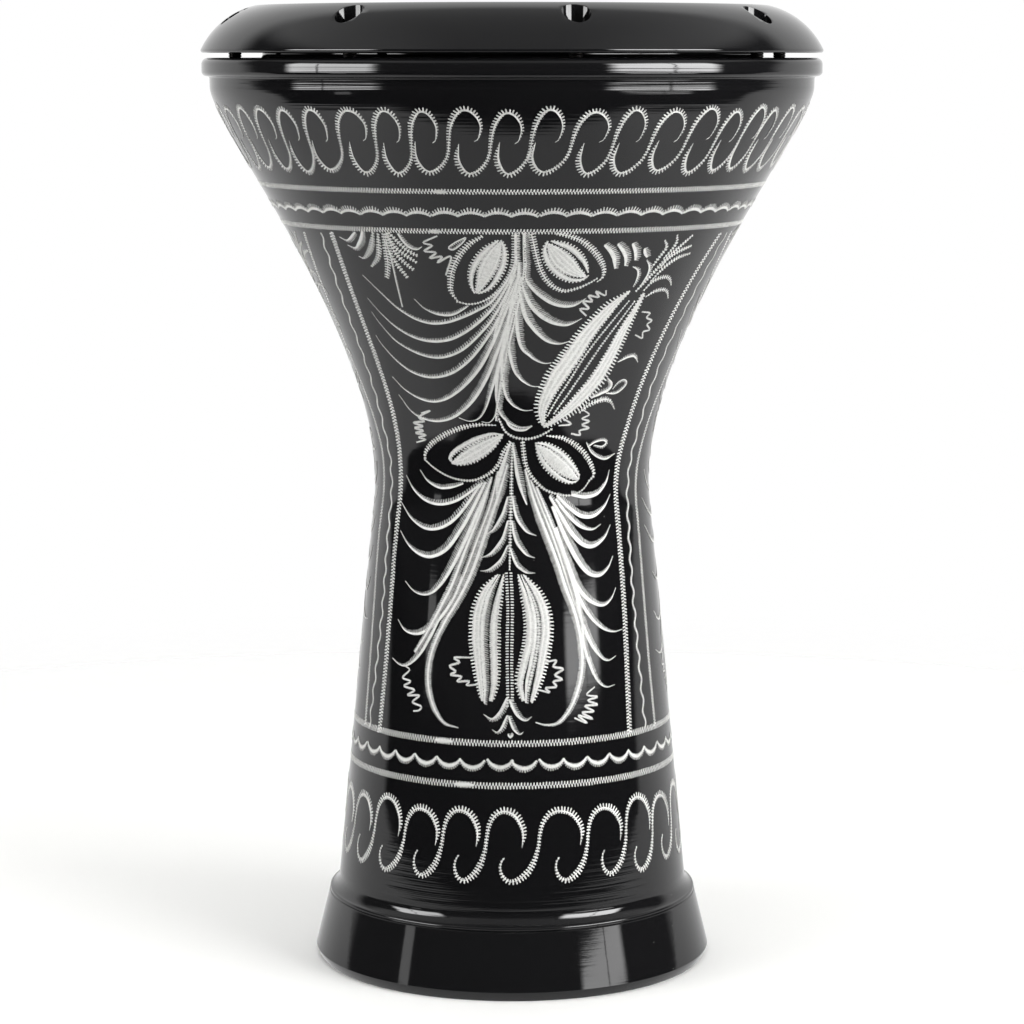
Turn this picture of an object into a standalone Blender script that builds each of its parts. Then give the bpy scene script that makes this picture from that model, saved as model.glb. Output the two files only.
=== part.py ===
# Goblet drum with a cast aluminium shell, a clamped head and eight tension screws.
# Lengths are millimetres here and become metres in the meshes. +Z is up, the drum stands
# on its foot at z = 0, and the front of the decoration faces -Y.

import math

import bmesh
import bpy
from mathutils import Vector

MM = 0.001

# Facets round the large turned pieces and round the small hardware
ROUND_FACETS = 56
SMALL_FACETS = 16
WELL_FACETS = 20
SHARP_ANGLE = 35.0

# Facets along the curves of the turned sections
EDGE_STEPS = 3
LIP_TOP_STEPS = 2
LIP_LOWER_STEPS = 4
COVE_STEPS = 4
DOME_STEPS = 9
SWEEP_STEPS = 12
INNER_SWEEP_STEPS = 8

# Points closer than this are one point, and points this near the axis lie on it (metres)
MERGE_DISTANCE = 0.00001
AXIS_DISTANCE = 0.000001

# Foot bell and stem
RIM_REST_WIDTH = 4.0
RIM_LIP_HEIGHT = 6.0
RIM_RAMP_HEIGHT = 6.0
CHAMFER_HEIGHT = 4.3
CHAMFER_WIDTH = 2.0
SKIRT_HEIGHT = 26.3
SKIRT_SPREAD = 6.5
LEDGE_WIDTH = 4.5
LEDGE_EDGE_HEIGHT = 0.5
LEDGE_EDGE_ROUND = 1.0
COVE_RADIUS = 7.0
STEM_BASE_RADIUS = 80.2
STEM_LENGTH = 175.1
THROAT_RADIUS = 63.2

# Bowl: one sweep from the stem's taper to a vertical wall under the lip
BOWL_HEIGHT = 186.8
SWEEP_LOWER_PULL = 71.0
SWEEP_UPPER_PULL = 18.0
SHELL_WALL = 3.5

# Lip, shelf under the ring, and the collar that carries the head
BOWL_NECK_HEIGHT = 4.7
LIP_HEIGHT = 7.7
LIP_OVERHANG = 3.6
LIP_TOP_ROUND = 1.0
LIP_LOWER_ROUND = 3.4
SHELF_THICKNESS = 8.0
COLLAR_RADIUS = 112.4
COLLAR_WALL = 5.0
COLLAR_HEIGHT = 21.75
COLLAR_FILLET = 2.0
BEARING_ROUND = 2.0
BEARING_FLAT = 0.5

# Head: a film stretched over the bearing edge, held in a channel hoop
FILM_THICKNESS = 0.25
FILM_SLANT = 14.0
FILM_SKIRT_DROP = 11.45
HOOP_CLEARANCE = 0.5
HOOP_WALL = 0.8
HOOP_CHANNEL = 2.7
HOOP_FLOOR = 1.0
HOOP_HEIGHT = 8.0
HOOP_INNER_HEIGHT = 5.0
HOOP_DROP = 8.2

# Tuning ring
RING_SLIT = 3.1
RING_PROUD = 1.3
RING_RIM_WIDTH = 8.15
RING_BULGE = 3.65
RING_EDGE_ROUND = 0.4
NOSE_CLEARANCE = 2.0
NOSE_DEPTH = 5.8
NOSE_ROUND = 1.2
POCKET_CLEARANCE = 0.4
POCKET_SEAT_WIDTH = 1.3
LIP_INSET = 0.3

# Tension screws (M6 socket cap) and their washers
BOLT_COUNT = 8
BOLT_CLOCKING = 12.2
BOLT_DIAMETER = 6.0
BOLT_LENGTH = 20.0
BOLT_TIP_CHAMFER = 0.6
HEAD_DIAMETER = 10.0
HEAD_HEIGHT = 6.0
HEAD_CHAMFER = 0.5
HEX_ACROSS_FLATS = 5.0
HEX_DEPTH = 3.0
WASHER_DIAMETER = 12.0
WASHER_THICKNESS = 1.6
WASHER_BORE_CLEARANCE = 0.2

# Wells, clearance holes and tapped bosses for the screws
WELL_CLEARANCE = 0.25
WELL_WALL = 1.75
WELL_FLOOR = 3.2
HOLE_CLEARANCE = 0.3
TAP_CLEARANCE = 0.25
TAP_RUNOUT = 3.2
BOSS_WALL = 4.25
BOSS_CAP = 4.0
BOSS_ROOT = 4.0

# Gap between pieces that rest on each other, and how far a cutter runs past a face
SEAT_GAP = 0.3
OVERRUN = 2.0

# Heights above the floor
skirt_top = CHAMFER_HEIGHT + SKIRT_HEIGHT
ledge_top = skirt_top + LEDGE_EDGE_HEIGHT
cove_drop = COVE_RADIUS * math.sin(math.acos(1 - (LEDGE_WIDTH - LEDGE_EDGE_ROUND) / COVE_RADIUS))
stem_base = ledge_top + LEDGE_EDGE_ROUND + cove_drop
throat_height = stem_base + STEM_LENGTH
bowl_top = throat_height + BOWL_HEIGHT
lip_bottom = bowl_top + BOWL_NECK_HEIGHT
shelf_top = lip_bottom + LIP_HEIGHT
shelf_bottom = shelf_top - SHELF_THICKNESS
bearing_top = shelf_top + COLLAR_HEIGHT
film_bottom = bearing_top + SEAT_GAP
film_top = film_bottom + FILM_THICKNESS
ring_top = film_top + RING_PROUD
ring_bottom = shelf_top + RING_SLIT
well_floor = ring_bottom + WELL_FLOOR
washer_bottom = well_floor + SEAT_GAP
bolt_seat = washer_bottom + WASHER_THICKNESS + SEAT_GAP
bolt_tip = bolt_seat - BOLT_LENGTH
tap_bottom = bolt_tip - TAP_RUNOUT
boss_bottom = tap_bottom - BOSS_CAP
hoop_top = bearing_top - HOOP_DROP
hoop_bottom = hoop_top - HOOP_HEIGHT
pocket_top = hoop_top + SEAT_GAP

# Radii, worked outwards from the collar
hoop_inner = COLLAR_RADIUS + HOOP_CLEARANCE
hoop_outer = hoop_inner + HOOP_CHANNEL + 2 * HOOP_WALL
pocket_radius = hoop_outer + POCKET_CLEARANCE
nose_radius = COLLAR_RADIUS + NOSE_CLEARANCE
well_radius = WASHER_DIAMETER / 2 + WELL_CLEARANCE
bolt_circle = pocket_radius + WELL_WALL + well_radius
ring_radius = bolt_circle + well_radius + RING_RIM_WIDTH
lip_radius = ring_radius - LIP_INSET
bowl_radius = lip_radius - LIP_OVERHANG
tap_radius = BOLT_DIAMETER / 2 + TAP_CLEARANCE
boss_radius = tap_radius + BOSS_WALL
ledge_radius = STEM_BASE_RADIUS + LEDGE_WIDTH
foot_radius = ledge_radius + SKIRT_SPREAD
rim_radius = foot_radius - CHAMFER_WIDTH


def clear_scene():
    for item in list(bpy.data.objects):
        bpy.data.objects.remove(item, do_unlink=True)


def arc(centre, radius, start, end, steps):
    """Points (r, z) along an arc, with angles in degrees from the +r direction."""
    points = []
    for step in range(steps + 1):
        angle = math.radians(start + (end - start) * step / steps)
        points.append((centre[0] + radius * math.cos(angle), centre[1] + radius * math.sin(angle)))
    return points


def sweep_point(share):
    """A point of the bowl's outer sweep and its outward normal, from 0 at the lip to 1 at the throat."""
    taper = (STEM_BASE_RADIUS - THROAT_RADIUS) / STEM_LENGTH
    pull = SWEEP_LOWER_PULL / math.hypot(1.0, taper)
    top = Vector((bowl_radius, bowl_top))
    upper = Vector((bowl_radius, bowl_top - SWEEP_UPPER_PULL))
    lower = Vector((THROAT_RADIUS - taper * pull, throat_height + pull))
    throat = Vector((THROAT_RADIUS, throat_height))
    rest = 1.0 - share
    point = rest**3 * top + 3 * rest**2 * share * upper + 3 * rest * share**2 * lower + share**3 * throat
    slope = rest**2 * (upper - top) + 2 * rest * share * (lower - upper) + share**2 * (throat - lower)
    slope.normalize()
    return point, Vector((-slope.y, slope.x))


def sweep(inset, steps):
    """The bowl's sweep from the lip down to the throat, set in from the outside by inset."""
    points = []
    for step in range(steps + 1):
        point, normal = sweep_point(step / steps)
        points.append(tuple(point - inset * normal))
    return points


def bulged_arc(start, end, bulge, steps):
    """Points along the arc from start to end that stands out from their chord by bulge."""
    start = Vector(start)
    end = Vector(end)
    chord = end - start
    radius = (chord.length**2 / 4 + bulge**2) / (2 * bulge)
    inwards = Vector((chord.y, -chord.x)).normalized()
    centre = (start + end) / 2 + (radius - bulge) * inwards
    first = math.degrees(math.atan2(start.y - centre.y, start.x - centre.x))
    last = math.degrees(math.atan2(end.y - centre.y, end.x - centre.x))
    return arc(centre, radius, first, last, steps)


def turned_mesh(name, section, facets):
    """Mesh of a closed (r, z) section in millimetres turned once round Z."""
    mesh = bpy.data.meshes.new(name)
    bm = bmesh.new()
    corners = [bm.verts.new((r * MM, 0.0, z * MM)) for r, z in section]
    edges = [bm.edges.new((corners[i - 1], corners[i])) for i in range(len(corners))]
    bmesh.ops.spin(
        bm,
        geom=corners + edges,
        cent=(0, 0, 0),
        axis=(0, 0, 1),
        angle=2 * math.pi,
        steps=facets,
        use_duplicate=False,
    )
    bmesh.ops.remove_doubles(bm, verts=bm.verts, dist=MERGE_DISTANCE)
    bmesh.ops.dissolve_degenerate(bm, edges=bm.edges, dist=AXIS_DISTANCE)
    on_axis = [edge for edge in bm.edges if all(v.co.xy.length < AXIS_DISTANCE for v in edge.verts)]
    bmesh.ops.delete(bm, geom=on_axis, context="EDGES")
    bmesh.ops.recalc_face_normals(bm, faces=bm.faces)
    bm.to_mesh(mesh)
    bm.free()
    return mesh


def add_object(name, mesh, location=(0, 0, 0)):
    item = bpy.data.objects.new(name, mesh)
    item.location = Vector(location) * MM
    bpy.context.scene.collection.objects.link(item)
    return item


def hide_tool(item):
    item.hide_render = True
    item.display_type = "WIRE"


def boolean(item, tool, operation):
    modifier = item.modifiers.new(tool.name, "BOOLEAN")
    modifier.operation = operation
    modifier.solver = "EXACT"
    modifier.object = tool


def shade_round(mesh):
    mesh.shade_smooth()
    mesh.set_sharp_from_angle(angle=math.radians(SHARP_ANGLE))


def bolt_places():
    """Where each screw stands, the first one just right of the front."""
    places = []
    for index in range(BOLT_COUNT):
        angle = math.radians(BOLT_CLOCKING + 360.0 * index / BOLT_COUNT)
        places.append(Vector((bolt_circle * math.sin(angle), -bolt_circle * math.cos(angle), 0.0)))
    return places


def copies_at_bolts(name, mesh):
    """One tool object with a copy of the mesh at each screw."""
    bm = bmesh.new()
    for place in bolt_places():
        start = len(bm.verts)
        bm.from_mesh(mesh)
        bm.verts.ensure_lookup_table()
        bmesh.ops.translate(bm, verts=bm.verts[start:], vec=place * MM)
    joined = bpy.data.meshes.new(name)
    bm.to_mesh(joined)
    bm.free()
    tool = add_object(name, joined)
    hide_tool(tool)
    return tool


def finish_material(name, colour, roughness, metallic):
    material = bpy.data.materials.new(name)
    material.use_nodes = True
    shader = material.node_tree.nodes["Principled BSDF"]
    shader.inputs["Base Color"].default_value = (*colour, 1.0)
    shader.inputs["Roughness"].default_value = roughness
    shader.inputs["Metallic"].default_value = metallic
    material.diffuse_color = (*colour, 1.0)
    return material


def black_lacquer():
    return finish_material("black_lacquer", (0.008, 0.008, 0.009), 0.12, 0.0)


def clear_film():
    return finish_material("polyester_film", (0.72, 0.73, 0.72), 0.3, 0.0)


def bare_aluminium():
    return finish_material("bare_aluminium", (0.66, 0.67, 0.68), 0.35, 1.0)


def black_steel():
    return finish_material("black_oxide_steel", (0.03, 0.03, 0.032), 0.38, 0.9)


def zinc_steel():
    return finish_material("zinc_plated_steel", (0.6, 0.61, 0.62), 0.3, 1.0)


def collar_section():
    """Bearing edge, collar and the fillet at its foot, from the inner bevel down to the shelf."""
    crown = COLLAR_RADIUS - BEARING_ROUND
    bevel = COLLAR_WALL - BEARING_ROUND - BEARING_FLAT
    points = [(COLLAR_RADIUS - COLLAR_WALL, bearing_top - bevel)]
    points.append((crown - BEARING_FLAT, bearing_top))
    points += arc((crown, bearing_top - BEARING_ROUND), BEARING_ROUND, 90, 0, EDGE_STEPS)
    fillet_centre = (COLLAR_RADIUS + COLLAR_FILLET, shelf_top + COLLAR_FILLET)
    points += arc(fillet_centre, COLLAR_FILLET, 180, 270, EDGE_STEPS)
    return points


def lip_section():
    """Shelf edge and rolled lip, down to the bowl."""
    upper_centre = (lip_radius - LIP_TOP_ROUND, shelf_top - LIP_TOP_ROUND)
    points = arc(upper_centre, LIP_TOP_ROUND, 90, 0, LIP_TOP_STEPS)
    lower_centre = (lip_radius - LIP_LOWER_ROUND, lip_bottom + LIP_LOWER_ROUND)
    points += arc(lower_centre, LIP_LOWER_ROUND, 0, -90, LIP_LOWER_STEPS)
    points.append((bowl_radius, lip_bottom))
    return points


def foot_section():
    """Cove, ledge, skirt and chamfer, from the stem down to the resting rim."""
    reach = math.degrees(math.acos(1 - (LEDGE_WIDTH - LEDGE_EDGE_ROUND) / COVE_RADIUS))
    cove_centre = (STEM_BASE_RADIUS + COVE_RADIUS, stem_base)
    points = arc(cove_centre, COVE_RADIUS, 180, 180 + reach, COVE_STEPS)
    edge_centre = (ledge_radius - LEDGE_EDGE_ROUND, ledge_top)
    points += arc(edge_centre, LEDGE_EDGE_ROUND, 90, 0, EDGE_STEPS)
    points.append((ledge_radius, skirt_top))
    points.append((foot_radius, CHAMFER_HEIGHT))
    points.append((rim_radius, 0.0))
    return points


def inner_foot_section():
    """Inside of the foot, from the resting rim up to the stem."""
    rim_inner = rim_radius - RIM_REST_WIDTH
    points = [(rim_inner, 0.0), (rim_inner, RIM_LIP_HEIGHT)]
    ramp_top = RIM_LIP_HEIGHT + RIM_RAMP_HEIGHT
    share = (ramp_top - CHAMFER_HEIGHT) / SKIRT_HEIGHT
    points.append((foot_radius - SHELL_WALL - SKIRT_SPREAD * share, ramp_top))
    points.append((ledge_radius - SHELL_WALL, skirt_top))
    points.append((STEM_BASE_RADIUS - SHELL_WALL, stem_base))
    return points


def shell_section():
    """Whole wall of the shell: down the outside, across the rim, up the inside."""
    points = collar_section() + lip_section()
    points += sweep(0.0, SWEEP_STEPS)
    points += foot_section()
    points += inner_foot_section()
    points += list(reversed(sweep(SHELL_WALL, INNER_SWEEP_STEPS)))
    points.append((bowl_radius - SHELL_WALL, shelf_bottom))
    points.append((COLLAR_RADIUS - COLLAR_WALL, shelf_bottom))
    return points


def make_shell():
    mesh = turned_mesh("shell", shell_section(), ROUND_FACETS)
    boss = [(0, boss_bottom), (boss_radius, boss_bottom), (boss_radius, shelf_bottom + BOSS_ROOT)]
    boss.append((0, shelf_bottom + BOSS_ROOT))
    tap = [(0, tap_bottom), (tap_radius, tap_bottom), (tap_radius, shelf_top + OVERRUN)]
    tap.append((0, shelf_top + OVERRUN))
    shell = add_object("shell", mesh)
    boolean(shell, copies_at_bolts("boss_tool", turned_mesh("boss", boss, WELL_FACETS)), "UNION")
    boolean(shell, copies_at_bolts("tap_tool", turned_mesh("tap", tap, SMALL_FACETS)), "DIFFERENCE")
    shade_round(mesh)
    mesh.materials.append(black_lacquer())
    return shell


def ring_section():
    """Rounded ring with a nose over the hoop and an open pocket beneath."""
    crown = (nose_radius + NOSE_ROUND, ring_top)
    edge = (ring_radius, ring_bottom + RING_EDGE_ROUND)
    points = arc((crown[0], crown[1] - NOSE_ROUND), NOSE_ROUND, 180, 90, EDGE_STEPS)
    points += bulged_arc(crown, edge, RING_BULGE, DOME_STEPS)[1:]
    points.append((ring_radius - RING_EDGE_ROUND, ring_bottom))
    points.append((pocket_radius, ring_bottom))
    points.append((pocket_radius, pocket_top))
    points.append((pocket_radius - POCKET_SEAT_WIDTH, pocket_top))
    points.append((nose_radius, ring_top - NOSE_DEPTH))
    return points


def make_ring():
    mesh = turned_mesh("tuning_ring", ring_section(), ROUND_FACETS)
    hole_radius = BOLT_DIAMETER / 2 + HOLE_CLEARANCE
    well = [(0, ring_bottom - OVERRUN), (hole_radius, ring_bottom - OVERRUN), (hole_radius, well_floor)]
    well += [(well_radius, well_floor), (well_radius, ring_top + OVERRUN), (0, ring_top + OVERRUN)]
    ring = add_object("tuning_ring", mesh)
    boolean(ring, copies_at_bolts("well_tool", turned_mesh("well", well, WELL_FACETS)), "DIFFERENCE")
    shade_round(mesh)
    mesh.materials.append(black_lacquer())
    return ring


def make_hoop():
    """Channel that holds the film's edge, open upwards, with its outer wall under the ring."""
    floor_top = hoop_bottom + HOOP_FLOOR
    inner_top = hoop_bottom + HOOP_INNER_HEIGHT
    section = [(hoop_inner, hoop_bottom), (hoop_inner, inner_top), (hoop_inner + HOOP_WALL, inner_top)]
    section += [(hoop_inner + HOOP_WALL, floor_top), (hoop_outer - HOOP_WALL, floor_top)]
    section += [(hoop_outer - HOOP_WALL, hoop_top), (hoop_outer, hoop_top), (hoop_outer, hoop_bottom)]
    mesh = turned_mesh("head_hoop", section, ROUND_FACETS)
    shade_round(mesh)
    mesh.materials.append(bare_aluminium())
    return add_object("head_hoop", mesh)


def film_edge(offset):
    """The film's turn over the bearing edge and its slanted skirt, at this offset above the collar."""
    crown = COLLAR_RADIUS - BEARING_ROUND
    centre = (crown, bearing_top - BEARING_ROUND)
    points = arc(centre, BEARING_ROUND + offset, 90, FILM_SLANT, EDGE_STEPS)
    drop = points[-1][1] - (bearing_top - FILM_SKIRT_DROP)
    points.append((points[-1][0] + drop * math.tan(math.radians(FILM_SLANT)), points[-1][1] - drop))
    return points


def make_film():
    section = [(0.0, film_top)] + film_edge(SEAT_GAP + FILM_THICKNESS)
    section += list(reversed(film_edge(SEAT_GAP))) + [(0.0, film_bottom)]
    mesh = turned_mesh("head_film", section, ROUND_FACETS)
    shade_round(mesh)
    mesh.materials.append(clear_film())
    return add_object("head_film", mesh)


def bolt_mesh():
    """Socket cap screw with its origin under the head and the hex recess open at the top."""
    shank = BOLT_DIAMETER / 2
    head = HEAD_DIAMETER / 2
    section = [(0, -BOLT_LENGTH), (shank - BOLT_TIP_CHAMFER, -BOLT_LENGTH)]
    section += [(shank, BOLT_TIP_CHAMFER - BOLT_LENGTH), (shank, 0), (head, 0)]
    section += [(head, HEAD_HEIGHT - HEAD_CHAMFER), (head - HEAD_CHAMFER, HEAD_HEIGHT), (0, HEAD_HEIGHT)]
    blank = add_object("bolt_blank", turned_mesh("bolt_blank", section, SMALL_FACETS))
    corner = HEX_ACROSS_FLATS / 2 / math.cos(math.radians(30))
    hexagon = [(0, HEAD_HEIGHT - HEX_DEPTH), (corner, HEAD_HEIGHT - HEX_DEPTH)]
    hexagon += [(corner, HEAD_HEIGHT + OVERRUN), (0, HEAD_HEIGHT + OVERRUN)]
    key = add_object("hex_tool", turned_mesh("hex_tool", hexagon, 6))
    boolean(blank, key, "DIFFERENCE")
    graph = bpy.context.evaluated_depsgraph_get()
    mesh = bpy.data.meshes.new_from_object(blank.evaluated_get(graph))
    mesh.name = "tension_bolt"
    bpy.data.objects.remove(blank, do_unlink=True)
    bpy.data.objects.remove(key, do_unlink=True)
    shade_round(mesh)
    mesh.materials.append(black_steel())
    return mesh


def washer_mesh():
    bore = BOLT_DIAMETER / 2 + WASHER_BORE_CLEARANCE
    rim = WASHER_DIAMETER / 2
    section = [(bore, 0), (rim, 0), (rim, WASHER_THICKNESS), (bore, WASHER_THICKNESS)]
    mesh = turned_mesh("bolt_washer", section, SMALL_FACETS)
    shade_round(mesh)
    mesh.materials.append(zinc_steel())
    return mesh


def make_fasteners(parent):
    bolt = bolt_mesh()
    washer = washer_mesh()
    for number, place in enumerate(bolt_places(), start=1):
        screw = add_object(f"tension_bolt_{number}", bolt, place + Vector((0, 0, bolt_seat)))
        plate = add_object(f"bolt_washer_{number}", washer, place + Vector((0, 0, washer_bottom)))
        screw.parent = parent
        plate.parent = parent


def build():
    clear_scene()
    ring_group = add_object("ring_group", None)
    make_shell()
    make_film()
    make_ring().parent = ring_group
    make_hoop().parent = ring_group
    make_fasteners(ring_group)


build()
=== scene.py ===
# Goblet drum: lacquered cast body, tuning ring, film head, hoop and screws, with the ornament cut
# round the body. Metres, +Z up; the drum stands on z = 0 with the front of its ornament to -Y.
import math

import bpy
import numpy as np
from mathutils import Matrix, Vector


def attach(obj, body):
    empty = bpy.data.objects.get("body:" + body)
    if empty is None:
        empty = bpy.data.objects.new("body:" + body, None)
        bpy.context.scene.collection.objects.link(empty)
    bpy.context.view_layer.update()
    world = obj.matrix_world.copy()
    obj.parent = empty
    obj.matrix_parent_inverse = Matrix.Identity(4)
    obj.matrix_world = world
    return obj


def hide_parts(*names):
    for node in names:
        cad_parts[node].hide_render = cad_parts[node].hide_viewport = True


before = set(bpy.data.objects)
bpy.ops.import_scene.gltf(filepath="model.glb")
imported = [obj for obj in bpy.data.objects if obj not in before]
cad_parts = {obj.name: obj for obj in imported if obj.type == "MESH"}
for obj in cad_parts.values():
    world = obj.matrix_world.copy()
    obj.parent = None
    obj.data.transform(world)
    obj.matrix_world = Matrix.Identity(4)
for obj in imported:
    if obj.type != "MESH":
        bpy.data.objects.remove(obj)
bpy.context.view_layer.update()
mm = 0.001
sharpAngle = math.radians(32)
smooth = {"interpolation_type": "SMOOTHSTEP"}
tiny = 1e-9  # keeps a length off zero


# Helpers

def linear(hexColour):
    channels = [int(hexColour[i:i + 2], 16) / 255 for i in (1, 3, 5)]
    return [c / 12.92 if c <= 0.04045 else ((c + 0.055) / 1.055) ** 2.4 for c in channels] + [1.0]


def addNode(tree, kind, inputs=(), **settings):
    # inputs come by socket name or number, or in their order; each is a plain value, an output to link
    # from, or a node, which gives its first output in use
    node = tree.nodes.new("ShaderNode" + kind)
    for name, value in settings.items():
        setattr(node, name, value)
    for socket, value in (inputs.items() if isinstance(inputs, dict) else enumerate(inputs)):
        if isinstance(value, bpy.types.Node):
            value = next(output for output in value.outputs if output.enabled)
        if isinstance(value, bpy.types.NodeSocket):
            tree.links.new(value, node.inputs[socket])
        else:
            node.inputs[socket].default_value = value
    return node


def newMaterial(name):
    # an empty node tree, and the piece's own coordinates to start from
    material = bpy.data.materials.new(name)
    material.use_nodes = True
    tree = material.node_tree
    tree.nodes.clear()
    return material, tree, addNode(tree, "TexCoord").outputs["Object"]


def finishMaterial(tree, inputs):
    shader = addNode(tree, "BsdfPrincipled", inputs)
    addNode(tree, "OutputMaterial", {"Surface": shader})


def deselectAll():
    if bpy.context.object and bpy.context.object.mode != "OBJECT":
        bpy.ops.object.mode_set(mode="OBJECT")
    bpy.ops.object.select_all(action="DESELECT")


def makeActive(item):
    deselectAll()
    item.select_set(True)
    bpy.context.view_layer.objects.active = item


def applyPlace(item):
    makeActive(item)
    bpy.ops.object.transform_apply(location=True, rotation=True, scale=True)


def arc(centre, radius, start, end, steps):
    angles = [math.radians(start + (end - start) * i / steps) for i in range(steps + 1)]
    return [(centre[0] + radius * math.cos(a), centre[1] + radius * math.sin(a)) for a in angles]


def turnProfile(name, points, steps, closed=True):
    # the section is drawn point by point from one vertex, then spun once round Z
    deselectAll()
    first = Vector((points[0][0] * mm, 0, points[0][1] * mm))
    bpy.ops.mesh.primitive_plane_add(size=0.0001, location=(0, 0, 0))
    item = bpy.context.object
    item.name = name
    bpy.ops.object.mode_set(mode="EDIT")
    bpy.ops.mesh.select_mode(type="VERT")
    bpy.ops.mesh.select_all(action="SELECT")
    bpy.ops.mesh.merge(type="CENTER")
    bpy.ops.transform.translate(value=first)
    here = first
    for r, z in points[1:]:
        there = Vector((r * mm, 0, z * mm))
        bpy.ops.mesh.extrude_region_move(TRANSFORM_OT_translate={"value": there - here})
        here = there
    if closed:
        bpy.ops.object.mode_set(mode="OBJECT")
        for vertex in item.data.vertices:
            vertex.select = vertex.index in (0, len(item.data.vertices) - 1)
        bpy.ops.object.mode_set(mode="EDIT")
        bpy.ops.mesh.edge_face_add()
    bpy.ops.mesh.select_all(action="SELECT")
    bpy.ops.mesh.spin(steps=steps, angle=2 * math.pi, center=(0, 0, 0), axis=(0, 0, 1))
    bpy.ops.mesh.select_all(action="SELECT")
    bpy.ops.mesh.remove_doubles(threshold=0.000005)
    bpy.ops.mesh.normals_make_consistent(inside=False)
    bpy.ops.object.mode_set(mode="OBJECT")
    return item


def roundBar(radius, low, high, sides, place):
    # a plain cylinder to cut or join with, in millimetres
    deselectAll()
    bpy.ops.mesh.primitive_cylinder_add(vertices=sides, radius=radius * mm, depth=(high - low) * mm,
                                        location=(place[0] * mm, place[1] * mm, (low + high) / 2 * mm))
    return bpy.context.object


def joinAll(items):
    deselectAll()
    for item in items:
        item.select_set(True)
    bpy.context.view_layer.objects.active = items[0]
    bpy.ops.object.join()
    applyPlace(bpy.context.object)
    return bpy.context.object


def boolean(item, tool, operation):
    modifier = item.modifiers.new("cut", "BOOLEAN")
    modifier.operation = operation
    modifier.solver = "EXACT"
    modifier.object = tool
    makeActive(item)
    bpy.ops.object.modifier_apply(modifier=modifier.name)
    bpy.data.objects.remove(tool, do_unlink=True)


def setMaterials(item, *materials):
    item.data.materials.clear()
    for material in materials:
        item.data.materials.append(material)


def dress(item, *materials):
    # its materials, and soft shading but for the sharp edges
    setMaterials(item, *materials)
    makeActive(item)
    bpy.ops.object.shade_smooth_by_angle(angle=sharpAngle)


def leftOf(flow):
    return np.stack([-flow[:, 1], flow[:, 0]], axis=1)


def unit(flow):
    return flow / np.maximum(np.hypot(flow[:, 0], flow[:, 1]), tiny)[:, None]


# Sizes shared by the pieces, in millimetres

body = {
    "rimRadius": 89.2, "rimWidth": 4.0, "footRadius": 91.2, "chamfer": 4.3, "skirt": 26.3,
    "ledgeRadius": 84.7, "ledgeEdge": 0.5, "ledgeRound": 1.0, "coveRadius": 7.0,
    "stemBaseRadius": 80.2, "stemLength": 175.1, "throatRadius": 63.2,
    "bowlHeight": 186.8, "bowlRadius": 136.1, "lowerPull": 71.0, "upperPull": 18.0, "wall": 3.5,
    "neck": 4.7, "neckLean": 0.1, "neckFillet": 1.1,
    "lip": 7.7, "lipRadius": 139.7, "lipTopRound": 3.0, "lipRise": 0.5, "lipRiseFrom": 11.0,
    "lipRiseTo": 9.5, "lipLowerRound": 2.2, "shelf": 8.0,
    "collarRadius": 112.4, "collarWall": 5.0, "collarHeight": 21.75, "collarFillet": 2.0,
    "bearingRound": 2.0, "bearingFlat": 0.5, "skirtStart": 0.035, "footWall": 12.0, "turns": 240,
}
screws = {
    "count": 8, "clocking": 12.2, "circle": 125.6, "diameter": 6.0, "length": 20.0,
    "headDiameter": 10.0, "headHeight": 6.0, "hex": 5.0, "hexDepth": 3.0, "pitch": 1.0,
    "washer": 12.0, "washerThick": 1.6, "washerBore": 3.2, "wellRadius": 6.25, "wellFloor": 3.2,
    "holeRadius": 3.3, "tapRadius": 3.25, "tapDepth": 3.2, "bossRadius": 7.5, "bossDepth": 7.2,
    "threadDepth": 0.5, "twist": 37,
}
fit = {"clearance": 0.3, "film": 0.25, "ringOverFilm": 1.3, "slit": 3.1, "hoopDrop": 8.2}

skirtTop = body["chamfer"] + body["skirt"]
ledgeTop = skirtTop + body["ledgeEdge"]
coveWidth = body["ledgeRadius"] - body["stemBaseRadius"] - body["ledgeRound"]
coveReach = math.acos(1 - coveWidth / body["coveRadius"])
stemBase = ledgeTop + body["ledgeRound"] + body["coveRadius"] * math.sin(coveReach)
throat = stemBase + body["stemLength"]
bowlTop = throat + body["bowlHeight"]
lipBottom = bowlTop + body["neck"]
shelfTop = lipBottom + body["lip"]
shelfBottom = shelfTop - body["shelf"]
bearingTop = shelfTop + body["collarHeight"]
filmBottom = bearingTop + fit["clearance"]
ringBottom = shelfTop + fit["slit"]
ringTop = filmBottom + fit["film"] + fit["ringOverFilm"]
washerBottom = ringBottom + screws["wellFloor"] + fit["clearance"]
boltSeat = washerBottom + screws["washerThick"] + fit["clearance"]
hoopTop = bearingTop - fit["hoopDrop"]
screwPlaces = []
for index in range(screws["count"]):
    turn = math.radians(screws["clocking"] + 360 / screws["count"] * index)
    screwPlaces.append((screws["circle"] * math.sin(turn), -screws["circle"] * math.cos(turn)))


# Floor, light and camera

studio = {
    "cameraDistance": 1.5, "cameraHeight": 0.4143, "pitch": 7.91, "lens": 115.73, "sensor": 36,
    "backdrop": "#ffffff", "floor": "#f4f4f2", "floorRadius": 6.0, "fadeFrom": 0.45, "fadeTo": 0.95,
    "surround": 0.9, "room": 0.045, "ceiling": 0.38, "ceilingSides": 1.8,
    # the paper... entries set the painted reflection of the floor in the lacquer: its front edge, cut
    # corners, and how bright it glows at the front, rear and sides
    "reflectionFront": 0.36, "reflectionCorner": 0.76, "reflectionFrontDim": 0.72, "reflectionRearBright": 0.92,
    "reflectionSides": 0.45, "windowDistance": 1.0, "windowOnMatt": 0.55, "barDim": 0.15,
    "lampSize": 2.2, "lampPower": 30, "lampPlace": (0, 0.05, 2.2),
}
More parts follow.
